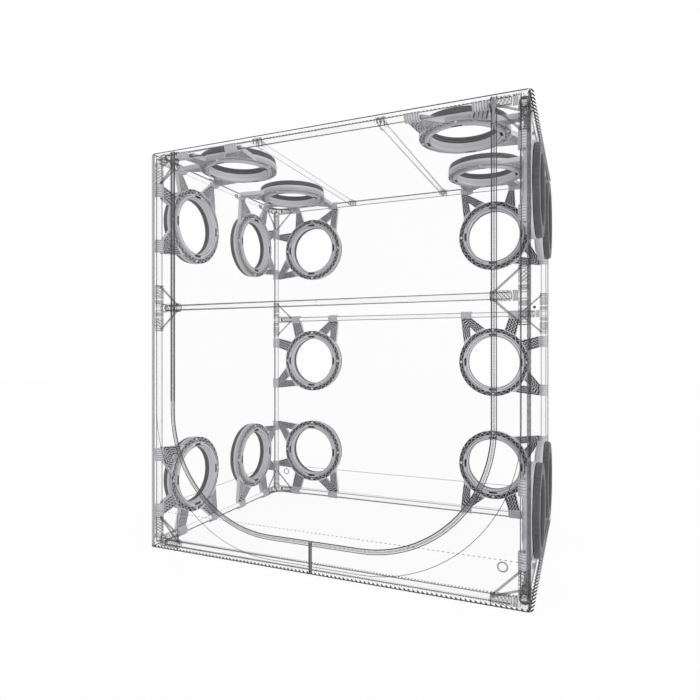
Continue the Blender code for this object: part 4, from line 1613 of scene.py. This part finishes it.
    def edges(self) -> None:
        """Cords along the twelve edges, thicker ones at the two front uprights, the right one
        painted dark for shade.
        """
        (x0, y0, z0), (x1, y1, z1) = (self.layout.low + self.edge_inset,
                                      self.layout.high - self.edge_inset)
        cords, pale, dark = Shape(), Shape(), Shape()
        ends = [((x0, y, z), (x1, y, z)) for y in (y0, y1) for z in (z0, z1)]
        for x in (x0, x1):
            ends += [((x, y0, z), (x, y1, z)) for z in (z0, z1)]
            ends.append(((x, y1, z0), (x, y1, z1)))
        for start, end in ends:
            self.cord(cords, start, end, self.edge_cord)
        left = x0 + self.left_cord_in
        self.cord(pale, (left, y0, z0), (left, y0, z1), self.left_cord, 20)
        for x in (left - self.left_seam, left + self.left_seam):
            self.cord(cords, (x, y0 - 1.2 * MM, z0), (x, y0 - 1.2 * MM, z1), self.fine_thread, 8)
        # The right upright's cord is painted dark for shade.
        self.cord(dark, (x1, y0, z0), (x1, y0, z1), self.right_cord, 20)
        self.add("edge_cords", cords, THREAD)
        self.add("left_upright_cord", pale, PALE_BINDING)
        self.add("right_upright_cord", dark, SHADED_BINDING)

    def add(self, name: str, shape: Shape, finish: Finish, body: str = ROOT_BODY) -> None:
        """Make a trim piece that stands for no node."""
        piece(name, shape.mesh(name), finish, body)

    def stitches(self) -> None:
        """Hem stitches along the front and the back, and whip stitches at the right edges."""
        (left, y0, _), (right, y1, z1) = self.layout.low, self.layout.high
        x0, x1 = left + 4 * MM, right - 4 * MM
        front, back = y0 - 0.6 * MM, y1 + 0.4 * MM
        fine = (4.8 * MM, 4.4 * MM, X_AXIS + Z_AXIS, 0.4 * MM)
        rows = [StitchRow((x0 + shift, y, z), (x1, y, z), *kind) for shift, y, z, *kind in (
            (0, front, self.seam_height, 10.0 * MM, 6.0 * MM, X_AXIS, 0.7 * MM),
            (0, front, 27.5 * MM, 6.8 * MM, 6.2 * MM, X_AXIS + 0.9 * Z_AXIS, 0.8 * MM),
            (0, front, 9.5 * MM, *fine), (2.4 * MM, front, 13.5 * MM, *fine),
            (0, front - 0.6 * MM, 4.0 * MM, 9.5 * MM, 8.8 * MM, X_AXIS - 1.1 * Z_AXIS, 1.7 * MM),
            (0, back, 20.0 * MM, 6.8 * MM, 6.0 * MM, X_AXIS - 0.9 * Z_AXIS, 0.7 * MM))]
        for z, rise in ((5.0 * MM, 0.78), (z1 - 5.0 * MM, -0.78)):
            for step, out in enumerate((3.6 * MM, -1.4 * MM)):
                first = y0 + 2 * MM + step * self.whip_pitch / 2
                rows.append(StitchRow((right + out, first, z), (right + out, y1 - 4 * MM, z),
                                      self.whip_pitch, 11.8 * MM, 0.62 * X_AXIS + rise * Z_AXIS,
                                      1.4 * MM))
        rows.append(StitchRow((x0, front, z1 - 10 * MM), (x1, front, z1 - 10 * MM), 8.0 * MM,
                              4.4 * MM, X_AXIS, 0.8 * MM))
        threads = Shape()
        for row in rows:
            row.add_to(threads)
        self.add("cover_stitches", threads, THREAD)

    def seams(self) -> None:
        """The seam lines: round the walls, up the front's side, and beside the zip."""
        (left, y0, _), (right, y1, _) = self.layout.low, self.layout.high
        front, back, height = y0 - 0.6 * MM, y1 + 0.4 * MM, self.seam_height
        ends = [((x, y0, height), (x, y1, height)) for x in (left - 0.2 * MM, right + 0.2 * MM)]
        ends += [((left + 4 * MM, back, height), (right - 4 * MM, back, height)),
                 ((self.seam_side, front, 17 * MM), (self.seam_side, front, height))]
        lines = Shape()
        for start, end in ends:
            self.cord(lines, start, end, self.fine_thread, 8)
        section = np.array([(6, 0), (4, 4), (0, 6), (-4, 4), (-6, 0), (-4, -4), (0, -6), (4, -4)])
        flap = self.zip_path(-0.050, self.door_top - 4 * MM)
        add_bar(lines, section * 0.1 * MM, self.on_front(flap, 0.6 * MM), Y_AXIS)
        self.add("seam_lines", lines, THREAD)

    def grommets(self) -> None:
        """Two ringed holes low on the front and back, and a small knot on the back."""
        rings, knot = Shape(), Shape()
        turn, tube = around(48), around(14)
        radius = self.grommet + 1.4 * MM * np.cos(tube)
        for (x, z), y in ((self.front_grommet, self.layout.low[1] - 0.8 * MM),
                          (self.back_grommet, self.layout.high[1] + 0.8 * MM)):
            rings.grid(np.stack([x + np.outer(np.cos(turn), radius),
                                 np.broadcast_to(y + 1.1 * MM * np.sin(tube), (48, 14)),
                                 z + np.outer(np.sin(turn), radius)], -1),
                       wrap_u=True, wrap_v=True)
        self.add("cover_grommets", rings, METAL)
        share = np.linspace(0, math.pi, 9)
        profile = np.stack([4.2 * MM * np.sin(share), 1.6 * MM - 1.6 * MM * np.cos(share)], -1)
        place = np.array([self.knot[0], self.layout.high[1], self.knot[1]])
        knot.grid(on_axis(turned(profile, around(20)), place, Y_AXIS, X_AXIS), wrap_u=True)
        self.add("cover_knot", knot, THREAD)

    def teeth(self, shape: Shape, path: Array, phase: float) -> None:
        """A row of equal teeth along a path on the front.

        A tooth is a block of five levels, at each a rectangle along and across the path.

        Args:
            shape: where they go.
            path: n x 2 points (across, height).
            phase: the first tooth's place in pitches.
        """
        steps = np.linalg.norm(np.diff(path, axis=0), axis=1)
        stations = np.concatenate([[0], np.cumsum(steps)])
        count = int(stations[-1] / self.tooth_pitch)
        where = (np.arange(count) + phase) * stations[-1] / count
        spots, ahead = (np.stack([np.interp(where + further, stations, column)
                                  for column in path.T], -1) for further in (0.0, 0.6 * MM))
        ahead -= spots
        ahead /= np.maximum(np.linalg.norm(ahead, axis=1), 1e-9)[:, None]
        aside = ahead[:, ::-1] * np.array([1, -1])
        ring = np.array([(-1, -1), (1, -1), (1, 1), (-1, 1)])
        size = np.array([0.0, 1.0, 1.0, 0.75, 0.0])[:, None, None]
        depth = np.array([-0.9, -0.9, 0.6, 1.0, 1.0]) * 0.5 * MM + 0.6 * MM
        flat = (spots[:, None, None] + ahead[:, None, None] * ring[:, :1] * self.tooth_half * size
                + aside[:, None, None] * ring[:, 1:] * self.tooth_reach * size)
        grids = np.empty((count, 5, 4, 3))
        grids[..., 0], grids[..., 2] = flat[..., 0], flat[..., 1]
        grids[..., 1] = self.layout.low[1] - depth[:, None]
        shape.grid(grids, wrap_v=True)

    def zip_parts(self) -> None:
        """Both tapes, their edge threads, and the coils between them."""
        top = self.door_top - 3 * MM
        for side, sign, body, cord, phase in (("door", 1, "door", 1.3 * MM, 0.5),
                                              ("frame", -1, ROOT_BODY, 0.9 * MM, 0.0)):
            tape, coil = Shape(), Shape()
            middle = self.on_front(self.zip_path(sign * (self.zip_gap + self.tape / 2), top), 0)
            add_bar(tape, flat_section(self.tape, -0.2 * MM, 0.8 * MM), middle, -Y_AXIS)
            self.add(f"{side}_zip_tape", tape, ZIP_TAPE, body)
            edge = self.zip_path(sign * (self.tape - 0.2 * MM), top)
            edge = self.on_front(edge, 0.8 * MM)
            add_bar(coil, round_section(cord, 8), edge, Y_AXIS)
            add_bar(coil, round_section(1.7 * MM, 8), edge[:self.rise_steps], Y_AXIS)
            self.teeth(coil, self.zip_path(sign * MM, top, steps=60), phase)
            self.add(f"{side}_zip_coil", coil, NYLON, body)

    def strap(self) -> None:
        """The short strap under the door, bowed outwards, with a thread along one side."""
        z = np.linspace(self.strap_low, self.strap_high, 24)
        out = 1.8 * MM + 0.8 * MM * np.sin((z - z[0]) / (z[-1] - z[0]) * math.pi)
        path = np.stack([np.full(24, self.strap_x), self.layout.low[1] - out, z], -1)
        band, edge = Shape(), Shape()
        add_bar(band, flat_section(self.strap_width, -0.7 * MM, 0.7 * MM), path, X_AXIS)
        self.add("door_strap", band, STRAP_WEBBING)
        beside = path - 4.0 * MM * X_AXIS - 0.4 * MM * Y_AXIS
        add_bar(edge, round_section(1.3 * MM, 10), beside, X_AXIS)
        self.add("door_strap_edge", edge, THREAD)

    def slider(self) -> None:
        """The zip's slider: a waisted body, a bridge and a ribbed pull."""
        low, high = box_of("zip_slider")
        x, back, top = (low[0] + high[0]) / 2, high[1], high[2]
        shape = Shape()
        share, across = np.linspace(0, 1, 16), np.linspace(-1, 1, 15)
        half = np.interp(share, [0, 0.1, 0.35, 0.7, 1], np.array([5.2, 5.9, 5.8, 4.6, 4.0]) * MM)
        crown = np.outer(np.sin(math.pi * share) ** 0.5, 1 - across ** 4) * 1.2 * MM + 2.6 * MM
        height = np.broadcast_to((top - 17 * MM * share)[:, None], crown.shape)
        shape.shell(*(np.stack([x + np.outer(half, across), back - out, height], -1)
                      for out in (crown, np.zeros(crown.shape))))
        bend = np.linspace(0, math.pi, 17)
        bridge = np.stack([np.full(17, x), back - 3.0 * MM - 1.6 * MM * np.sin(bend),
                           top - 8.5 * MM + 6.0 * MM * np.cos(bend)], -1)
        add_bar(shape, flat_section(2.6 * MM, -0.5 * MM, 0.5 * MM), bridge, X_AXIS)
        along, spread = np.linspace(0, 1, 37), np.linspace(-1, 1, 9)
        wide = np.interp(along, [0, 0.04, 0.2, 0.8, 0.95, 1],
                         np.array([1.6, 2.2, 2.4, 3.4, 3.2, 2.0]) * MM)
        ribbed = (np.sin(along * math.pi * 22) > 0) & (along > 0.45) & (along < 0.9)
        thick = 0.7 * MM + np.outer(0.25 * MM * ribbed, 1 - spread ** 2)
        height = np.broadcast_to((top - 11 * MM - 36 * MM * along)[:, None], thick.shape)
        shape.shell(*(np.stack([x + np.outer(wide, spread), back - 4.9 * MM - face * thick,
                                height], -1) for face in (1, -1)))
        piece("zip_slider_metal", shape.mesh("slider"), METAL, "slider", ("zip_slider",))

    def build(self) -> None:
        """Make the cloth first, then what is sewn to it."""
        self.panels()
        self.edges()
        self.stitches()
        self.seams()
        self.grommets()
        self.zip_parts()
        self.strap()
        self.slider()


@dataclass
class Studio:
    """Pale floor, soft light from the right, white surroundings and the camera."""

    place: tuple[float, float, float] = (0.5394, -1.3836, 0.4907)
    turn: float = math.radians(22.77)
    focal: float = 553.4
    frame_width: float = 700.0
    sensor: float = 36.0
    fill: float = 0.59
    key_power: float = 70.0
    key_place: tuple[float, float, float] = (3.35, -2.35, 0.30)
    key_aim: tuple[float, float, float] = (0.0, 0.0, 0.5)
    key_size: float = 1.5
    floor_half: float = 8.0
    floor_lines: int = 9
    floor_z: float = -0.0006
    floor_grey: float = 0.9
    floor_glow: float = 1.03
    glow_share: float = 0.92
    see_through: int = 24

    def put(self, name: str, data: bpy.types.ID) -> Object:
        """Link an object of the studio.

        Args:
            name: its name.
            data: its camera, lamp or mesh.

        Returns:
            The new object.
        """
        made = bpy.data.objects.new(name, data)
        bpy.context.scene.collection.objects.link(made)
        return made

    def camera(self) -> None:
        """The camera at the photograph's place, level, without shift."""
        data = bpy.data.cameras.new("camera")
        data.sensor_width = self.sensor
        data.lens = self.focal / self.frame_width * self.sensor
        made = self.put("camera", data)
        made.location = self.place
        made.rotation_euler = (math.pi / 2, 0, self.turn)
        bpy.context.scene.camera = made

    def world(self) -> None:
        """White to the camera and to reflections, a plain fill to everything else."""
        world = bpy.data.worlds.new("surroundings")
        world.use_nodes = True
        graph = Graph(world)
        graph.tree.nodes.clear()
        lights = []
        for strength in (self.fill, 1.0):
            light = graph.add("ShaderNodeBackground")
            light.inputs["Color"].default_value = (1, 1, 1, 1)
            light.inputs["Strength"].default_value = strength
            lights.append(light.outputs[0])
        output = graph.add("ShaderNodeOutputWorld")
        graph.join(graph.lit_or_seen(*lights), output.inputs["Surface"])
        bpy.context.scene.world = world

    def floor(self) -> None:
        """A wide pale floor that keeps a faint shadow."""
        lines = np.linspace(-self.floor_half, self.floor_half, self.floor_lines)
        flat = np.meshgrid(lines, lines, indexing="ij")
        shape = Shape()
        shape.grid(np.stack([*flat, np.full(flat[0].shape, self.floor_z)], -1))
        mesh = shape.mesh("studio_floor", Z_AXIS)
        material = bpy.data.materials.new("studio_floor")
        material.use_nodes = True
        graph = Graph(material)
        shader = graph.tree.nodes["Principled BSDF"]
        shader.inputs["Base Color"].default_value = (*(self.floor_grey,) * 3, 1)
        shader.inputs["Roughness"].default_value = 0.9
        shader.inputs["Specular IOR Level"].default_value = 0.0
        glow = graph.add("ShaderNodeEmission")
        glow.inputs["Strength"].default_value = self.floor_glow
        both = graph.lit_or_seen(shader.outputs[0], glow.outputs[0], self.glow_share)
        graph.join(both, graph.tree.nodes["Material Output"].inputs["Surface"])
        mesh.materials.append(material)
        self.put("studio_floor", mesh)

    def light(self) -> None:
        """One wide soft lamp, aimed at the middle of the tent."""
        data = bpy.data.lights.new("key", "AREA")
        data.energy = self.key_power
        data.size = self.key_size
        made = self.put("key", data)
        made.location = self.key_place
        aim = Vector(self.key_aim) - Vector(self.key_place)
        made.rotation_euler = aim.to_track_quat("-Z", "Y").to_euler()

    def build(self) -> None:
        """Set the whole studio up."""
        self.camera()
        self.world()
        self.floor()
        self.light()
        bpy.context.scene.view_settings.view_transform = "Standard"
        bpy.context.scene.cycles.transparent_max_bounces = self.see_through


def main() -> None:
    """Build the tent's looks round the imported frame."""
    logging.basicConfig(level=logging.INFO)
    layout = Layout.read()
    places = port_places()
    TubeFrame(layout).build()
    PortPlate().build(places)
    LockRing().build(places)
    Cover(layout, places).build()
    Studio().build()


if __name__ == "__main__":
    main()
